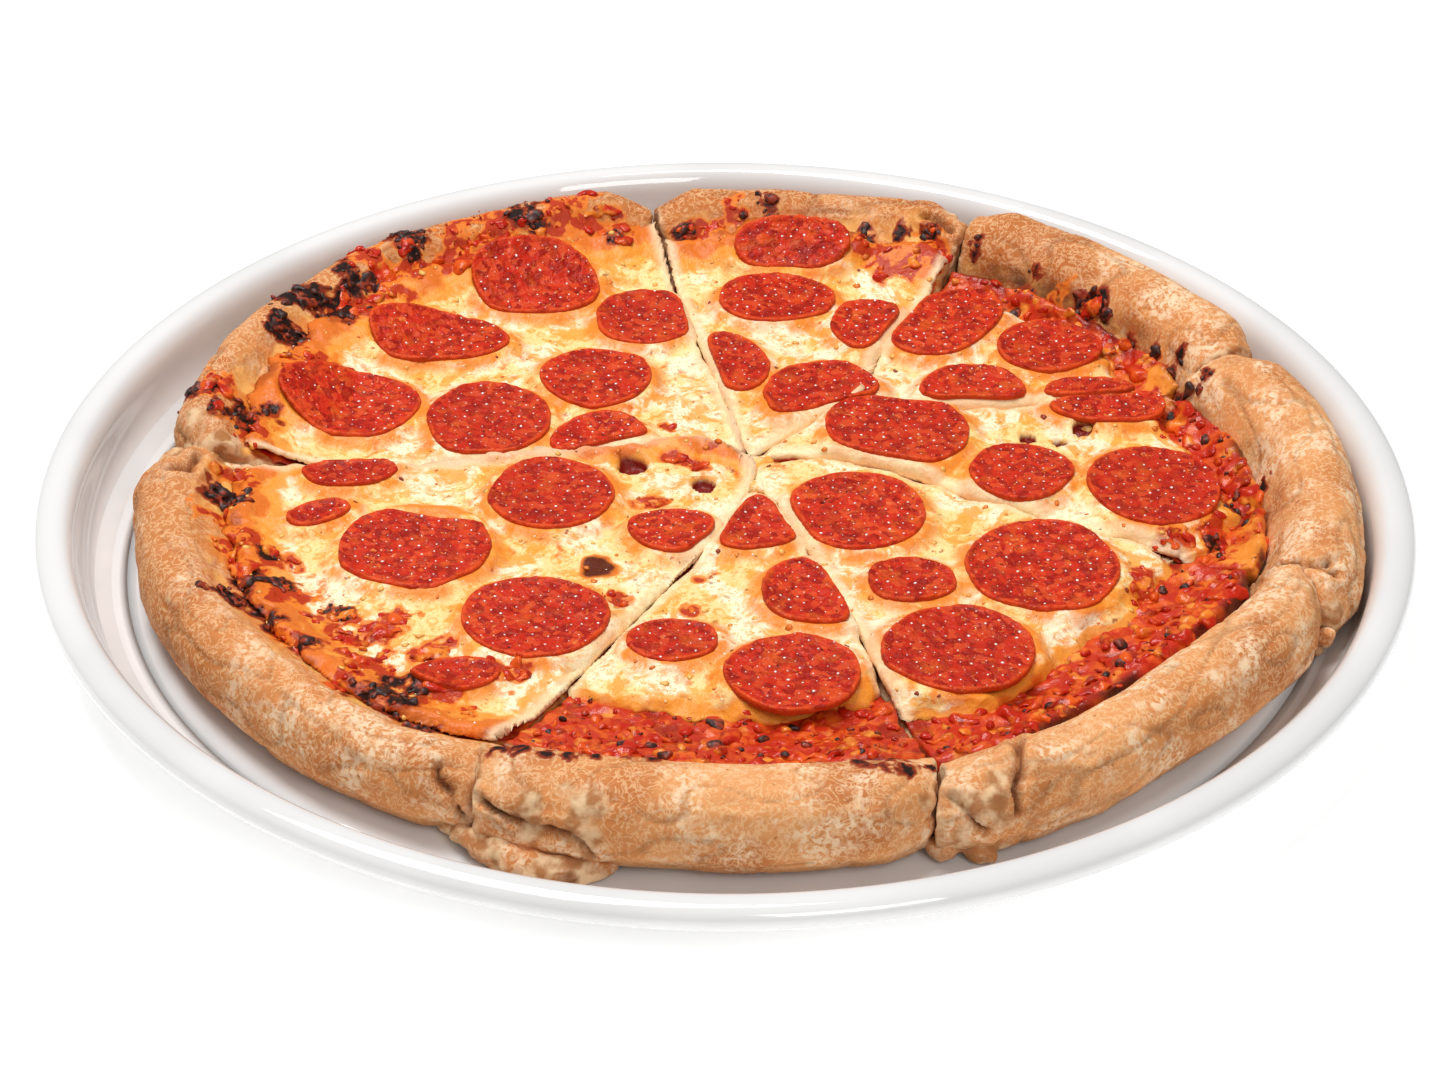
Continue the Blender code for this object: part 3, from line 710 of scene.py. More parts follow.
def baked_skin():
    """Matt tan with flour, toast, grease, spills and burnt spots, and pale where it tore."""
    skin = Finish("baked_dough", 0.72)
    tan, brown, pale = paint(230, 160, 100), paint(192, 112, 56), paint(251, 222, 186)
    colour = skin.patches(tan, brown, 22, 0.42, 0.66, 0.9, detail=3)
    colour = skin.patches(colour, paint(212, 132, 70), 60, 0.45, 0.6, 0.6, shift=2)
    flour = skin.cloudy(16, 0.46, 0.58, 0.85, detail=5, rough=0.62, shift=4)
    colour = skin.patches(colour, pale, 2.2, 0.42, 0.58, within=flour, detail=3, warp=1.2, shift=5)
    colour = skin.patches(colour, paint(190, 108, 50), 14, 0.25, 0.5, 0.9, within=skin.stored("toast"),
                          detail=4, shift=16)
    winding = skin.sums("SUBTRACT", skin.noise(4.2, warp=2.2, shift=6), 0.5)
    squiggle = skin.mask(skin.sums("ABSOLUTE", winding, 0.0), 0.06, 0.01, 0.55)
    colour = skin.over(colour, paint(246, 204, 154), squiggle)
    colour = skin.patches(colour, paint(140, 80, 40), 1.5, 0.7, 0.78, 0.6, detail=1, shift=7)
    # Painted shade, dark brown in the folds, cracks and hollows
    colour = skin.over(colour, paint(120, 66, 32), skin.stored("painted_crease_shade"))
    colour = skin.over(colour, paint(74, 30, 12), skin.stored("lip"))
    foot = skin.mask(skin.stored("height"), 0.3, 0.05, 0.55)
    colour = skin.over(colour, paint(150, 96, 56), foot)
    grease = skin.cloudy(12, 0.3, 0.6, within=skin.stored("grease"), detail=4, shift=8)
    colour = skin.over(colour, paint(232, 136, 52), grease)
    colour = skin.patches(colour, paint(251, 196, 108), 8, 0.48, 0.56, 0.8, within=grease, detail=5, shift=15)
    colour = skin.patches(colour, paint(178, 66, 24), 7, 0.5, 0.62, 0.8, within=skin.stored("sauced"),
                          detail=4, shift=11)
    colour = boiled_up(skin, colour)
    crumb = skin.patches(paint(236, 200, 156), paint(176, 116, 68), 5, 0.4, 0.6, detail=4, shift=13)
    colour = skin.over(colour, crumb, skin.stored("crumb"))
    colour = burnt_through(skin, colour, paint(150, 52, 18), paint(34, 14, 8), 12)
    rough = skin.sums("MAXIMUM", skin.mask(skin.stored("grease"), 0.9, 0.1, 0.75), 0.42)
    skin.surface(colour, Roughness=rough, Specular_IOR_Level=0.25, Subsurface_Weight=0.12,
                 Subsurface_Scale=0.003)
    skin.bumps((skin.noise(4.5, detail=4, warp=1.0, shift=9), 0.5),
               (skin.noise(1.2, detail=3, shift=10), 0.16))
    return skin.material


dough_skin = baked_skin()
crusts = {}
for letter in SLICES:
    crust = crusts[letter] = bake_dough(letter)
    dress(crust, dough_skin)
    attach(crust, "root")
    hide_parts("dough_" + letter)
    print("crust", letter, len(crust.data.polygons), "faces")

# %% [markdown]
# ## Torn scraps
#
# At the notches and under the front crust, scraps of dough tore off and stuck. Each is a short bent
# roll along a few points, thin at both ends. All of them go through one remesh, which joins those
# that touch, and the same noise as the crust makes them ragged.

# %% Scraps at the notches and the ledge under the front crust
# Points along each in millimetres, then its width and height
SCRAPS = [
    ([(-66, -139, 9), (-58, -146, 9.5), (-50, -151.5, 9.5), (-41, -154, 9), (-33, -153, 8.5),
      (-26, -149, 8)], 9, 8.5),
    ([(50, -141, 8.5), (57, -147, 9)], 7, 6), ([(59, -143, 10), (67, -147, 9)], 7, 8),
    ([(54, -135, 17), (59, -142, 15)], 5, 5), ([(-70, -133, 8), (-64, -138, 9)], 7, 6),
    ([(-153, 13, 14), (-146, 9, 16)], 8, 8), ([(-143, 10, 19), (-135, 11, 18)], 5, 5),
    ([(-159, 9, 12), (-162, 2, 13)], 6, 8), ([(157, -57, 11), (161, -62, 15)], 4, 6),
    ([(152, -49, 10), (158, -60, 9)], 6, 6), ([(148, -62, 9), (155, -66, 8)], 4, 4),
    ([(77, 149, 15), (72, 139, 20)], 4, 9), ([(-22, 149, 12), (-20, 138, 18)], 4, 9),
    ([(150, 66, 14), (142, 60, 18)], 4, 9),
]
SCRAP_VOXEL = 0.8 * MM
SIDES = 10


def scrap(builder, points, width, height):
    """A bent roll along some points, thin at both ends."""
    path = smooth_curve(points, 2)
    rings = []
    for i, middle in enumerate(path):
        ahead = path[min(i + 1, len(path) - 1)] - path[max(i - 1, 0)]
        across = Vector((-ahead.y, ahead.x, 0)).normalized() * width / 2
        thick = math.sqrt(math.sin(math.pi * (0.08 + 0.84 * i / (len(path) - 1))))
        turns = [math.tau * k / SIDES for k in range(SIDES)]
        spokes = [math.cos(a) * across + Vector((0, 0, math.sin(a) * height / 2)) for a in turns]
        rings.append([builder.verts.new((middle + thick * spoke) * MM) for spoke in spokes])
    for ring, following in zip(rings, rings[1:]):
        for k in range(SIDES):
            builder.faces.new((ring[k - 1], ring[k], following[k], following[k - 1]))
    for ring in (rings[0], rings[-1]):
        builder.faces.new(ring)


def bent_rolls(name, rolls, voxel):
    """A piece of bent rolls, joined where they touch."""
    builder = bmesh.new()
    for path, width, height in rolls:
        scrap(builder, path, width, height)
    bmesh.ops.recalc_face_normals(builder, faces=builder.faces)
    return make_even(built_piece(name, builder), voxel, 3)


scraps = bent_rolls("torn_scraps", SCRAPS, SCRAP_VOXEL)
points, normals = read_points(scraps), read_normals(scraps)
lift = 0.9 * hills(points, 5 * MM, 15) + 0.6 * hills(points, 2.4 * MM, 16)
points += normals * (lift * MM)[:, None]
points[:, 2] = np.maximum(points[:, 2], DISH_FLOOR + 0.1 * MM)
write_points(scraps, points)
store(scraps, "crumb", 0.9 * fade(hills(points, 6 * MM, 17), -0.1, 0.3))
store(scraps, "height", fade(points[:, 2], DISH_FLOOR, CRUST_TOP))
# Painted shade where the scraps are dented in
store(scraps, "painted_crease_shade", fade(-lift, 0.3, 0.9))
dress(scraps, dough_skin)
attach(scraps, "root")
print("scraps:", len(scraps.data.polygons), "faces")

# %% [markdown]
# ## The sauce
#
# Under the cheese the sauce is a thin even layer that shows only at the cuts. Where the cheese
# stops short of the crust it lies thick and coarse, cooked down to lumps that are orange on top,
# with shade painted dark red into the hollows, and with burnt bits.

# %% Shape the sauce
BARE_VOXEL, COVERED_VOXEL = 0.75 * MM, 1.25 * MM


def cook_sauce(letter):
    """One slice's sauce: flat under the cheese, lumpy where it lies bare."""
    width, run, bare = (value * MM for value in CRUSTS[letter])
    voxel = BARE_VOXEL if bare else COVERED_VOXEL
    piece = even_copy("sauce_" + letter, "sauce_layer_" + letter, voxel, 2)
    points, normals = read_points(piece), read_normals(piece)
    inward, edge, cut = from_edge(points, crust_lines[letter]), from_edge(points), from_cut(points)
    covered = width + run + bare
    open_air = fade(-inward, -covered - 3 * MM, -covered) * (bare > 0)
    lumps = 0.9 * hills(points, 7 * MM, 11) + 0.7 * hills(points, 3.6 * MM, 12)
    lumps += 0.3 * hills(points, 1.8 * MM, 13)
    lift = open_air * (0.4 + lumps) * fade(normals[:, 2], 0.0, 0.6)
    points = points + normals * (lift * MM)[:, None]
    if not bare:
        points[:, 2] -= 2.8 * MM * fade(-edge, -6 * MM, -2 * MM)
    write_points(piece, points)
    patchy = fade(hills(points, 11 * MM, 16), -0.65, -0.4) if letter in "bc" else 1
    # The lump height, which the colour uses to paint shade into the hollows
    store(piece, "lumps", 0.5 + 0.4 * lumps)
    store(piece, "open", open_air)
    store(piece, "cheesy", open_air * (1 - patchy))
    store(piece, "sown", open_air * patchy * fade(cut, 1.5 * MM, 3 * MM) * fade(edge, 0.5 * MM, 2 * MM))
    lip = fade(-edge, -4 * MM, -1 * MM)
    store(piece, "char", lip * fade(hills(points, 9 * MM, 14), -0.3, 0.4) * open_air)
    return piece


# %% Colour the sauce
def cooked_tomato():
    """Red and orange, with shade painted dark red into the hollows, and burnt at the edge."""
    sauce = Finish("tomato_sauce", 0.3)
    red, orange = paint(198, 48, 20), paint(232, 100, 32)
    colour = sauce.patches(red, orange, 5, 0.44, 0.64, 0.8, detail=4, warp=0.6)
    colour = sauce.patches(colour, paint(242, 158, 62), 8, 0.56, 0.68, 0.85, detail=5, shift=2)
    # Painted shade: dark red where the stored lump height is low, in the hollows
    colour = sauce.over(colour, paint(140, 20, 8), sauce.mask(sauce.stored("lumps"), 0.42, 0.2, 0.7))
    colour = sauce.patches(colour, paint(242, 146, 52), 4, 0.35, 0.5, within=sauce.stored("cheesy"),
                           detail=4, shift=4)
    colour = sauce.patches(colour, paint(62, 20, 10), 3.2, 0.66, 0.74, 0.85, within=sauce.stored("open"),
                           detail=3, shift=3)
    colour = sauce.over(colour, paint(44, 16, 8), sauce.times(sauce.stored("char"), 0.85))
    sauce.surface(colour, Specular_IOR_Level=0.35)
    sauce.bumps((sauce.noise(2.4, detail=4), 0.6))
    return sauce.material


tomato = cooked_tomato()
sauces = {}
for letter in SLICES:
    sauce = sauces[letter] = cook_sauce(letter)
    dress(sauce, tomato)
    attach(sauce, "root")
    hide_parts("sauce_" + letter)
    print("sauce", letter, len(sauce.data.polygons), "faces")

# %% [markdown]
# ## The cheese
#
# Melted cheese is a thick liquid that froze as it cooled: low swells, soft rounded edges along the
# cuts, and a rim that creeps up against each piece of sausage. The oven browned it in spots, fat
# from the sausage stained it orange, and a few bubbles burst and burnt.

# %% Shape the cheese
CHEESE_VOXEL = 0.9 * MM
BLISTERS = [(-34, -35, 5.5), (-103, 37, 2.5)]
HOLES = [(-26, 16, 4.4), (-6, 7, 3.6), (103, 37, 3.4), (87, 34, 2.6), (96, 31, 2.2)]


def melt_cheese(letter):
    """One slice's cheese, whose outer edge climbs the crust or stops short of it."""
    climbs = CRUSTS[letter][2] == 0
    piece = even_copy("cheese_" + letter, "cheese_layer_" + letter, CHEESE_VOXEL, 4)
    points, normals = read_points(piece), read_normals(piece)
    cut, sausage, edge = from_cut(points), from_sausage(points), from_edge(points)
    up = fade(normals[:, 2], 0.1, 0.7)
    swells = 0.55 * hills(points, 19 * MM, 21) + 0.35 * hills(points, 8 * MM, 22)
    swells += 0.2 * hills(points, 3.5 * MM, 23)
    creep = np.where(sausage > 0, 2.3 * np.exp(-(sausage / (2.6 * MM)) ** 2),
                     0.4 + 1.9 * fade(sausage, -5 * MM, -1 * MM))
    hollow = np.zeros(len(points))
    for x, y, size in HOLES:
        away = np.hypot(points[:, 0] - x * MM, points[:, 1] - y * MM) / (size * MM)
        dug = fade(1.15 - away + 0.3 * hills(points, 4 * MM, 25), 0.1, 0.35)
        hollow = np.maximum(hollow, dug * (away < 2))
    blister = scorched(points, BLISTERS, rough=0.25)
    dimples = -0.55 * fade(hills(points, 3.6 * MM, 28), 0.3, 0.65)
    beside_cut = 0.7 * fade(-cut, -6 * MM, -2 * MM) * hills(points, 6 * MM, 29)
    clear = fade(sausage, -1 * MM, 3 * MM)
    lift = up * ((swells + dimples + beside_cut) * clear + creep - 3.2 * hollow + 0.4 * blister)
    lift += (1 - up) * fade(normals[:, 2], -0.6, 0.0) * (0.95 + 0.5 * hills(points, 5.5 * MM, 24))
    points = points + normals * (lift * MM)[:, None]
    ragged = 0.5 + 0.5 * rough_hills(points, 10 * MM, seed=26)
    reach = (1.0 + 6.0 * ragged if climbs else 7.0 * ragged - 3.2) * fade(-edge, -9 * MM, 0)
    slope, droop = (0.62, 2.2) if climbs else (0.0, 1.2)
    points += outward(points) * (reach * MM)[:, None]
    points[:, 2] += (reach * slope - droop * fade(-edge, -3.5 * MM, 0)) * MM
    write_points(piece, points)
    store(piece, "stain", fade(-sausage, -6 * MM, -0.5 * MM))
    browned = fade(-edge, -20 * MM, 1 * MM) if climbs else 0.75 * fade(-edge, -8 * MM, 1 * MM)
    store(piece, "margin", browned)
    store(piece, "edge", fade(-cut, -4.5 * MM, -1.5 * MM))
    store(piece, "charred", scorched(points, BURNT))
    store(piece, "blister", blister)
    store(piece, "hollow", hollow)
    store(piece, "sown", up * fade(sausage, 0.5 * MM, 1.5 * MM))
    store(piece, "spilt", scorched(points, SPILT))
    return piece


# %% Colour the cheese
def melted_cheese():
    """Cream and gold, stained orange beside the sausage and browned at the outer edge."""
    cheese = Finish("melted_cheese", 0.34)
    cream, pale = paint(254, 222, 152), paint(255, 242, 206)
    gold, amber, brown = paint(245, 160, 46), paint(228, 112, 28), paint(160, 66, 20)
    colour = cheese.patches(cream, pale, 14, 0.46, 0.54, detail=5)
    colour = cheese.patches(colour, gold, 11, 0.49, 0.57, 0.85, detail=8, rough=0.66, warp=1.2, shift=1)
    colour = cheese.patches(colour, paint(246, 184, 88), 3.2, 0.52, 0.6, 0.6, detail=5, rough=0.7, shift=10)
    colour = cheese.patches(colour, paint(243, 164, 58), 2.4, 0.6, 0.67, 0.75, detail=2, warp=2.5, shift=13)
    patch = cheese.cloudy(30, 0.38, 0.58, shift=3)
    colour = cheese.patches(colour, amber, 6, 0.55, 0.68, within=patch, detail=6, rough=0.65, shift=2)
    rings = cheese.cells(4.2)
    ring = cheese.times(cheese.mask(rings, 0.18, 0.3), cheese.mask(rings, 0.46, 0.34, 0.6))
    colour = cheese.patches(colour, gold, 16, 0.5, 0.62, within=ring, shift=12)
    colour = cheese.patches(colour, brown, 2.6, 0.64, 0.72, 0.8, within=patch, detail=3, shift=4)
    colour = cheese.patches(colour, paint(242, 136, 42), 7, 0.36, 0.56, 0.95, within=cheese.stored("stain"),
                            detail=5, shift=5)
    ragged = cheese.times(cheese.noise(9, detail=5, shift=6), 0.9)
    margin = cheese.sums("ADD", cheese.stored("margin"), ragged)
    colour = cheese.over(colour, paint(245, 154, 52), cheese.mask(margin, 0.84, 0.98, 0.9))
    colour = cheese.over(colour, paint(224, 106, 32), cheese.mask(margin, 1.14, 1.26, 0.8))
    colour = cheese.over(colour, paint(150, 60, 20), cheese.mask(margin, 1.38, 1.5, 0.6))
    colour = boiled_up(cheese, colour)
    colour = cheese.over(colour, paint(255, 234, 192), cheese.times(cheese.stored("edge"), 0.65))
    colour = cheese.over(colour, paint(122, 22, 8), cheese.mask(cheese.stored("hollow"), 0.1, 0.7))
    colour = cheese.patches(colour, paint(130, 60, 24), 1.3, 0.74, 0.8, 0.8, detail=1, shift=8)
    colour = cheese.over(colour, paint(226, 120, 38), cheese.mask(cheese.stored("blister"), 0.02, 0.3))
    colour = cheese.over(colour, paint(96, 36, 14), cheese.mask(cheese.stored("blister"), 0.3, 0.75))
    colour = burnt_through(cheese, colour, paint(170, 62, 20), paint(40, 16, 8), 7)
    cheese.surface(colour, Specular_IOR_Level=0.2, Subsurface_Weight=0.12, Subsurface_Scale=0.002,
                   Subsurface_Radius=(1.0, 0.6, 0.3))
    cheese.bumps((cheese.noise(5, detail=5, rough=0.6), 0.9), (rings, 0.45),
                 (cheese.noise(1.4, detail=2, shift=9), 0.2))
    return cheese.material


mozzarella = melted_cheese()
cheeses = {}
for letter in SLICES:
    cheese = cheeses[letter] = melt_cheese(letter)
    dress(cheese, mozzarella)
    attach(cheese, "root")
    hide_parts("cheese_" + letter)
    print("cheese", letter, len(cheese.data.polygons), "faces")

# %% [markdown]
# ## Strings of cheese
#
# Here and there the cheese ran together again behind the knife, at the crossing of the cuts and
# across the cut at the right. The same bent rolls as for the torn scraps make these bridges.

# %% Bridges over the cuts
# Points along each in millimetres, then its width and height
BRIDGES = [
    ([(1, 25, 15), (7, 20, 15.5), (12, 13, 15)], 8, 4),
    ([(2, 14, 15), (8, 18, 15.5), (13, 24, 15)], 7, 4),
    ([(4, 8, 15), (10, 9, 15.3), (14, 5, 15)], 5, 3.4),
    ([(33, 55, 15), (40, 50, 15.3), (45, 54, 15)], 6, 3.4),
    ([(98, 54, 15.5), (104, 47, 16.3), (106, 40, 15.8)], 3.4, 3),
    ([(104, 55, 15.5), (111, 47, 16), (117, 41, 16)], 3, 3),
    ([(113, 50, 15.6), (120, 43, 16.3), (121, 36, 15.8)], 3.4, 3),
    ([(101, 41, 16), (108, 38, 16.6), (116, 40, 16)], 3, 2.6),
    ([(-52, 26, 15.3), (-56, 18, 15.6), (-53, 12, 15.3)], 4, 3),
    ([(-12, 100, 15.3), (-7, 104, 15.3)], 5, 3),
]
BRIDGE_VOXEL = 0.6 * MM

bridges = bent_rolls("cheese_bridges", BRIDGES, BRIDGE_VOXEL)
points, normals = read_points(bridges), read_normals(bridges)
write_points(bridges, points + normals * (0.4 * hills(points, 4 * MM, 30) * MM)[:, None])
dress(bridges, mozzarella)
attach(bridges, "root")
print("bridges:", len(bridges.data.polygons), "faces")

# %% [markdown]
# ## The sausage
#
# Each slice of pepperoni shrank and cupped as its fat ran out, so its edge stands a little higher.
# The face is coarse meat: red grains with orange fat between them. A slice's outline bends softly,
# so the corners of its solid are rounded off, and one slice has a bite pushed into its edge.

# %% Shape the sausage
SAUSAGE_VOXEL = 0.65 * MM
BLUR_DEGREES = 10
ALMOST_NONE = 0.001


def rounded(points, outline):
    """The points spread or drawn in, so that an outline's corners turn into one soft line."""
    corners, normals = outline
    middle = corners.mean(axis=0)
    bearings = np.radians(np.arange(360))
    facing = np.column_stack([np.cos(bearings), np.sin(bearings)]) @ normals.T
    reach = np.sum((corners - middle) * normals, axis=1)
    reached = reach / np.maximum(facing, ALMOST_NONE)
    radius = np.min(np.where(facing > ALMOST_NONE, reached, np.inf), axis=1)
    # Blurred over three turns, of which the middle one is kept, so that no seam shows
    blur = np.exp(-0.5 * (np.arange(-40, 41) / BLUR_DEGREES) ** 2)
    soft = np.convolve(np.tile(radius, 3), blur / blur.sum(), "same")[360:721]
    away = points[:, :2] - middle
    bearing = np.degrees(np.arctan2(away[:, 1], away[:, 0])) % 360
    share = np.interp(bearing, np.arange(361), soft / np.append(radius, radius[0]))
    return np.column_stack([middle + away * share[:, None], points[:, 2]])


# A bite: its middle, then how far from it the old edge was, the new edge is and the squeeze ends
BITES = {"pepperoni_24": ((-76, -1), 7.5, 14, 23)}


def bitten(points, middle, old_edge, new_edge, end):
    """Points pushed away from the middle of a bite."""
    away = points[:, :2] - np.array(middle) * MM
    distance = np.hypot(*away.T)
    push = (new_edge - old_edge) * MM * fade(-distance, -end * MM, -old_edge * MM)
    moved = points.copy()
    moved[:, :2] += away * (push / distance)[:, None]
    return moved


def fry_sausage(node, seed):
    """One piece of sausage with a grainy face and a wavy, raised edge."""
    piece = even_copy(node, node.replace("pepperoni", "sausage"), SAUSAGE_VOXEL, 8)
    points, normals = read_points(piece), read_normals(piece)
    depth = -outside(points, SAUSAGE_OUTLINES[node])
    shifted = points + seed * 0.05
    sideways = fade(-depth, -7 * MM, 0)[:, None] * np.column_stack(
        [hills(shifted, 9 * MM, 34), hills(shifted, 9 * MM, 35), np.zeros(len(points))])
    wave = 0.35 * hills(shifted, 13 * MM, 31)
    grain = 0.16 * hills(points, 2.4 * MM, 32) + 0.1 * hills(points, 1.3 * MM, 33)
    rolled = 0.45 * fade(-depth, -2.4 * MM, -0.6 * MM)
    up = fade(normals[:, 2], 0.0, 0.6)
    points = rounded(points + normals * (up * grain * MM)[:, None], SAUSAGE_OUTLINES[node])
    points[:, 2] += (wave * fade(-depth, -9 * MM, 0) + rolled * up) * MM
    points += sideways * 0.9 * MM
    if node in BITES:
        points = bitten(points, *BITES[node])
    write_points(piece, points)
    store(piece, "rim", fade(-depth, -1.8 * MM, -0.8 * MM) * up)
    store(piece, "side", fade(-normals[:, 2], -0.6, -0.2))
    store(piece, "sown", up * fade(depth, 0.6 * MM, 1.6 * MM))
    store(piece, "tone", np.full(len(points), (seed * 0.618) % 1))
    return piece


# %% Colour the sausage
def oily_meat():
    """Red and dark grains with orange fat between them."""
    meat = Finish("pepperoni", 0.34)
    red, dark, bright = paint(208, 46, 20), paint(146, 20, 10), paint(230, 84, 38)
    colour = meat.patches(red, dark, 4, 0.47, 0.62, 0.8, detail=5, warp=1.0)
    colour = meat.patches(colour, paint(168, 26, 12), 10, 0.52, 0.62, 0.6, detail=4, shift=7)
    tint = meat.add("ShaderNodeSeparateColor")
    meat.feed(tint.inputs["Color"], meat.cells(2.2, "Color"))
    colour = meat.over(colour, bright, meat.mask(tint.outputs["Red"], 0.5, 0.9, 0.7))
    colour = meat.over(colour, dark, meat.mask(tint.outputs["Green"], 0.62, 0.9, 0.7))
    colour = meat.patches(colour, paint(234, 104, 30), 7, 0.56, 0.68, 0.4, detail=4, shift=5)
    colour = meat.patches(colour, paint(240, 130, 62), 2.2, 0.61, 0.69, 0.8, detail=3, warp=1.8, shift=2)
    colour = meat.patches(colour, paint(70, 14, 8), 1.9, 0.7, 0.76, 0.9, detail=1, shift=3)
    colour = meat.over(colour, paint(160, 28, 12), meat.times(meat.stored("tone"), 0.22))
    colour = meat.patches(colour, paint(232, 84, 28), 6, 0.35, 0.6, 0.8, within=meat.stored("rim"), shift=6)
    colour = meat.over(colour, paint(190, 64, 22), meat.stored("side"))
    meat.surface(colour, Specular_IOR_Level=0.14, Subsurface_Weight=0.06, Subsurface_Scale=0.0015)
    meat.bumps((meat.noise(2.8, detail=3, warp=1.0), 1.0), (meat.noise(1.0, detail=2, shift=4), 0.3))
    return meat.material


oily = oily_meat()
fried = []
for seed, node in enumerate(SAUSAGES):
    sausage = fry_sausage(node, seed)
    dress(sausage, oily)
    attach(sausage, "root")
    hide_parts(node)
    fried.append(sausage)
print("sausage:", len(fried), "pieces,", sum(len(piece.data.polygons) for piece in fried), "faces")

# %% [markdown]
# ## Small things, sown by a tree
#
# Oil beads, which are coloured near white as painted glints, lumps of tomato and burnt crumbs are
# far too many to place by hand. One Geometry Nodes tree sows them all: it spreads points where a
# value that the shaping stored is above 0, puts a small ball on each, squashes and turns it, and
# dents it with noise. Its inputs name that value and set how many there are, how large and how
# flat. Food that cooked into a crust then goes through a remesh, which runs touching balls together.

# %% The sowing tree
DENSEST = 4e6
ONCE_ROUND = 6.28


def sowing_tree():
    """Points spread on a host, each with a squashed and dented ball."""
    tree = new_tree("Sow", Spacing=("Float", 2 * MM), Smallest=("Float", MM), Largest=("Float", MM),
                    Flatness=("Float", 1.0), Dents=("Float", 0.0), Roundness=("Int", 1),
                    Seed=("Int", 0), Where=("String", "sown"), Material=("Material", None))
    given = place_node(tree, "NodeGroupInput").outputs

    def times(first, second):
        return placed_value(tree, "ShaderNodeMath", {0: first, 1: second}, operation="MULTIPLY")

    def drawn(number):
        seed = placed_value(tree, "ShaderNodeMath", {0: given["Seed"], 1: float(number)}, operation="ADD")
        return placed_value(tree, "FunctionNodeRandomValue", {"Min": 0.0, "Max": 1.0, "Seed": seed},
                            data_type="FLOAT")

    sown = placed_value(tree, "GeometryNodeInputNamedAttribute", {"Name": given["Where"]}, "Attribute",
                        data_type="FLOAT")
    spread = place_node(tree, "GeometryNodeDistributePointsOnFaces",
                        {"Mesh": given["Geometry"], "Distance Min": given["Spacing"],
                         "Density Max": DENSEST, "Density Factor": sown, "Seed": given["Seed"]},
                        distribute_method="POISSON")
    share = times(drawn(1), drawn(2))
    size = placed_value(tree, "ShaderNodeMapRange",
                        {"Value": share, "To Min": given["Smallest"], "To Max": given["Largest"]},
                        "Result")
    squashed = placed_value(tree, "ShaderNodeCombineXYZ",
                            {"X": size, "Y": times(size, 0.8), "Z": times(size, given["Flatness"])},
                            "Vector")
    ball = place_node(tree, "GeometryNodeMeshIcoSphere",
                      {"Radius": 1.0, "Subdivisions": given["Roundness"]})
    balls = place_node(tree, "GeometryNodeInstanceOnPoints",
                       {"Points": spread.outputs["Points"], "Instance": ball.outputs["Mesh"],
                        "Rotation": spread.outputs["Rotation"], "Scale": squashed})
    turn = placed_value(tree, "ShaderNodeCombineXYZ", {"Z": times(drawn(3), ONCE_ROUND)}, "Vector")
    turned = place_node(tree, "GeometryNodeRotateInstances",
                        {"Instances": balls.outputs["Instances"], "Rotation": turn})
    toned = place_node(tree, "GeometryNodeStoreNamedAttribute",
                       {"Geometry": turned.outputs["Instances"], "Name": "tone", "Value": drawn(4)},
                       data_type="FLOAT", domain="INSTANCE")
    real = place_node(tree, "GeometryNodeRealizeInstances", {"Geometry": toned.outputs["Geometry"]})
    coarse = placed_value(tree, "ShaderNodeMath", {0: 1.0, 1: given["Largest"]}, operation="DIVIDE")
    noise = placed_value(tree, "ShaderNodeTexNoise", {"Scale": coarse, "Detail": 1.0}, "Color")
    centred = placed_value(tree, "ShaderNodeVectorMath", {0: noise, 1: (0.5, 0.5, 0.5)}, "Vector",
                           operation="SUBTRACT")
    dent = placed_value(tree, "ShaderNodeVectorMath",
                        {0: centred, "Scale": times(given["Dents"], given["Largest"])}, "Vector",
                        operation="SCALE")
    dented = place_node(tree, "GeometryNodeSetPosition",
                        {"Geometry": real.outputs["Geometry"], "Offset": dent})
    smooth = place_node(tree, "GeometryNodeSetShadeSmooth", {"Geometry": dented.outputs["Geometry"]})
    named = place_node(tree, "GeometryNodeSetMaterial",
                       {"Geometry": smooth.outputs["Geometry"], "Material": given["Material"]})
    out = place_node(tree, "NodeGroupOutput")
    tree.links.new(named.outputs["Geometry"], out.inputs[0])
    return tree


def run_together(piece, material, voxel, dents, seed):
    """Melt touching balls into one crusty mass with an uneven skin."""
    make_even(piece, voxel * MM, 1)
    points, normals = read_points(piece), read_normals(piece)
    lift = dents * (hills(points, 2.8 * MM, seed) + 0.6 * hills(points, 1.5 * MM, seed + 1))
    write_points(piece, points + normals * (lift * MM)[:, None])
    dress(piece, material)


def joined_copy(pieces, name):
    """Several pieces as one mesh, to sow on."""
    joined = bmesh.new()
    for piece in pieces:
        joined.from_mesh(piece.data)
    return built_piece(name, joined)


# %% Finishes of the small things
# Glossy beads whose given colour is near white, so their colour is a painted glint
def glint_oil(name, colour):
    drop = Finish(name, 0.04)
    drop.surface(colour, Specular_IOR_Level=0.9, Coat_Weight=1.0, Coat_Roughness=0.02)
    return drop.material


def tomato_lumps():
    lump = Finish("tomato_lumps", 0.22)
    colour = lump.patches(paint(194, 38, 14), paint(230, 92, 26), 6, 0.46, 0.6, detail=3)
    colour = lump.patches(colour, paint(240, 144, 48), 9, 0.53, 0.63, 0.85, detail=4, shift=1)
    colour = lump.patches(colour, paint(142, 20, 8), 3.5, 0.52, 0.64, 0.75, detail=4, shift=2)
    lump.surface(colour, Specular_IOR_Level=0.3)
    lump.bumps((lump.noise(1.5, detail=3), 0.3))
    return lump.material


def toasted_cheese():
    spot = Finish("toasted_cheese", 0.4)
    tone = spot.stored("tone")
    colour = spot.over(paint(248, 190, 98), paint(230, 124, 38), spot.mask(tone, 0.45, 0.8))
    spot.surface(spot.over(colour, paint(150, 60, 20), spot.mask(tone, 0.9, 0.95)))
    return spot.material


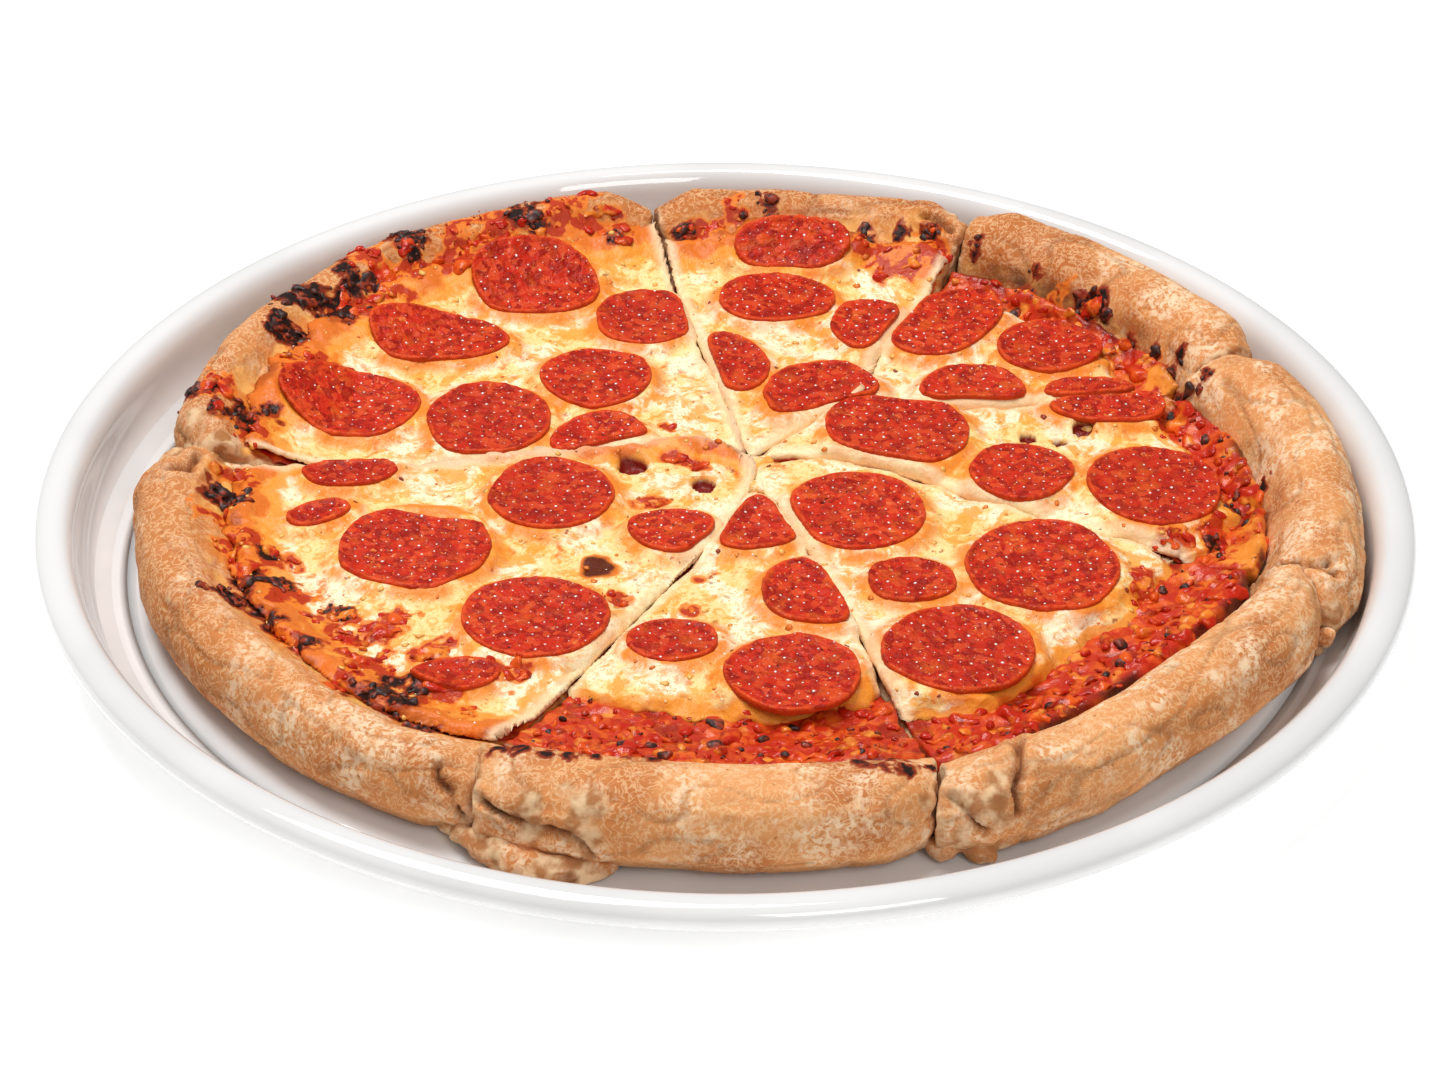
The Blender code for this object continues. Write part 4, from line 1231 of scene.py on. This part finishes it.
def burnt_crumbs():
    crumb = Finish("burnt_crumbs", 0.5)
    crumb.surface(crumb.patches(paint(50, 20, 12), paint(158, 52, 20), 3, 0.47, 0.62, detail=3))
    crumb.bumps((crumb.noise(1.2, detail=3), 0.3))
    return crumb.material


# %% Sow them
SOWING = sowing_tree()
UNEVEN = 0.35
banded = [sauces[letter] for letter in "bcde"]
every_cheese = list(cheeses.values())
splashed = every_cheese + [crusts[letter] for letter in "abcfg"]


def sow(name, hosts, slot, material, seed, where="sown", merged=0, **sizes):
    """Sow one kind of small thing, in millimetres and plain shares, and perhaps run it together."""
    shares = {key: value for key, value in sizes.items() if key in ("Flatness", "Dents", "Roundness")}
    lengths = {key: value * MM for key, value in sizes.items() if key not in shares}
    host = joined_copy(hosts, name + "_host")
    piece = grown(name, host, SOWING, Where=where, Material=material, Seed=seed, **shares, **lengths)
    if merged:
        run_together(piece, material, merged, UNEVEN, seed)
    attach(piece, "root")
    print(name, len(piece.data.polygons), "faces")


lumpy, burnt = tomato_lumps(), burnt_crumbs()
sow("tomato_lumps", banded, "sauce", lumpy, 3, merged=0.72, Spacing=4.0, Smallest=1.5, Largest=4.2,
    Flatness=0.42, Dents=1.0, Roundness=2)
sow("burnt_crumbs", banded, "sauce", burnt, 5, merged=0.5, Spacing=6.5, Smallest=0.7, Largest=3.2,
    Flatness=0.5, Dents=1.2, Roundness=2)
sow("tomato_smears", splashed, "sauce", lumpy, 17, "spilt", merged=0.6, Spacing=3.0, Smallest=0.9,
    Largest=3.6, Flatness=0.36, Dents=1.0, Roundness=2)
sow("burnt_lumps", splashed, "cheese", burnt, 13, "charred", merged=0.55, Spacing=2.4, Smallest=0.8,
    Largest=2.6, Flatness=0.5, Dents=1.0, Roundness=2)
sow("toasted_spots", every_cheese, "cheese", toasted_cheese(), 19, Spacing=5.2, Smallest=0.4, Largest=1.6,
    Flatness=0.24, Dents=0.8, Roundness=1)
# Oil beads coloured near white: painted glints on the sausage and on the cheese
sow("oil_beads_with_painted_glints_on_sausage", fried, "pepperoni", glint_oil("sausage_oil_painted_glint", paint(255, 250, 244)), 7, Spacing=2.7,
    Smallest=0.2, Largest=0.62, Flatness=0.5, Dents=0.0, Roundness=1)
sow("oil_beads_with_painted_glints_on_cheese", every_cheese, "cheese", glint_oil("cheese_oil_painted_glint", paint(255, 248, 228)), 11, Spacing=5.0,
    Smallest=0.17, Largest=0.5, Flatness=0.5, Dents=0.0, Roundness=1)

# %% [markdown]
# ## The table, the light and the camera
#
# A white sheet that glows a little, as on a light box, and large soft lights keep the shadows
# faint. The camera looks down at about 33 degrees through a long lens, which keeps the far crust
# nearly as large as the near one.

# %% Table
def white_table():
    table = Finish("white_table", 0.9)
    table.surface(paint(252, 252, 252), Emission_Color=paint(255, 255, 255), Emission_Strength=0.35)
    return table.material


TABLE_HALF = 4.0
corners = [(x * TABLE_HALF, y * TABLE_HALF, 0) for x, y in ((-1, -1), (1, -1), (1, 1), (-1, 1))]
table_mesh = bpy.data.meshes.new("table")
table_mesh.from_pydata(corners, [], [(0, 1, 2, 3)])
table = new_piece("table", table_mesh)
table_mesh.materials.append(white_table())


# %% Lights
def soft_light(name, place, size, power):
    """A square lamp that points at the middle of the dish."""
    data = bpy.data.lights.new(name, "AREA")
    data.size = size
    data.energy = power
    lamp = bpy.data.objects.new(name, data)
    bpy.context.scene.collection.objects.link(lamp)
    lamp.location = place
    lamp.rotation_euler = (-Vector(place)).to_track_quat("-Z", "Y").to_euler()
    return lamp


soft_light("over_table", (-0.35, 0.35, 1.5), 0.8, 22.5)
soft_light("from_front", (0.5, -1.3, 1.3), 0.7, 9)
world = bpy.data.worlds.new("soft_room")
world.use_nodes = True
sky = world.node_tree.nodes["Background"]
sky.inputs["Color"].default_value = (1, 1, 1, 1)
sky.inputs["Strength"].default_value = 0.25
bpy.context.scene.world = world
bpy.context.scene.view_settings.view_transform = "Standard"

# %% Camera
# Where the lens is, what it looks at and how far it leans, fitted to the dish's two rims
CAMERA_ELEVATION = math.radians(32.688)
CAMERA_DISTANCE = 0.950
LENS_MIDDLE = Vector((0, 0, 0.022))
AIM = Vector((-0.00023, -0.02976, 0.022))
LEAN = math.radians(0.415)
FILM_WIDTH, FOCAL_LENGTH = 36, 84.96

lens = bpy.data.cameras.new("camera")
lens.sensor_fit = "HORIZONTAL"
lens.sensor_width = FILM_WIDTH
lens.lens = FOCAL_LENGTH
lens.clip_start = 0.05
camera = bpy.data.objects.new("camera", lens)
bpy.context.scene.collection.objects.link(camera)
direction = Vector((0, -math.cos(CAMERA_ELEVATION), math.sin(CAMERA_ELEVATION)))
camera.location = LENS_MIDDLE + CAMERA_DISTANCE * direction
forward = (AIM - camera.location).normalized()
right = forward.cross(Vector((0, 0, 1))).normalized()
above = right.cross(forward)
leaning_right = math.cos(LEAN) * right + math.sin(LEAN) * above
leaning_up = math.cos(LEAN) * above - math.sin(LEAN) * right
turned = Matrix((leaning_right, leaning_up, -forward)).transposed()
camera.matrix_world = Matrix.Translation(camera.location) @ turned.to_4x4()
bpy.context.scene.camera = camera
print("camera at", [round(value, 4) for value in camera.location])
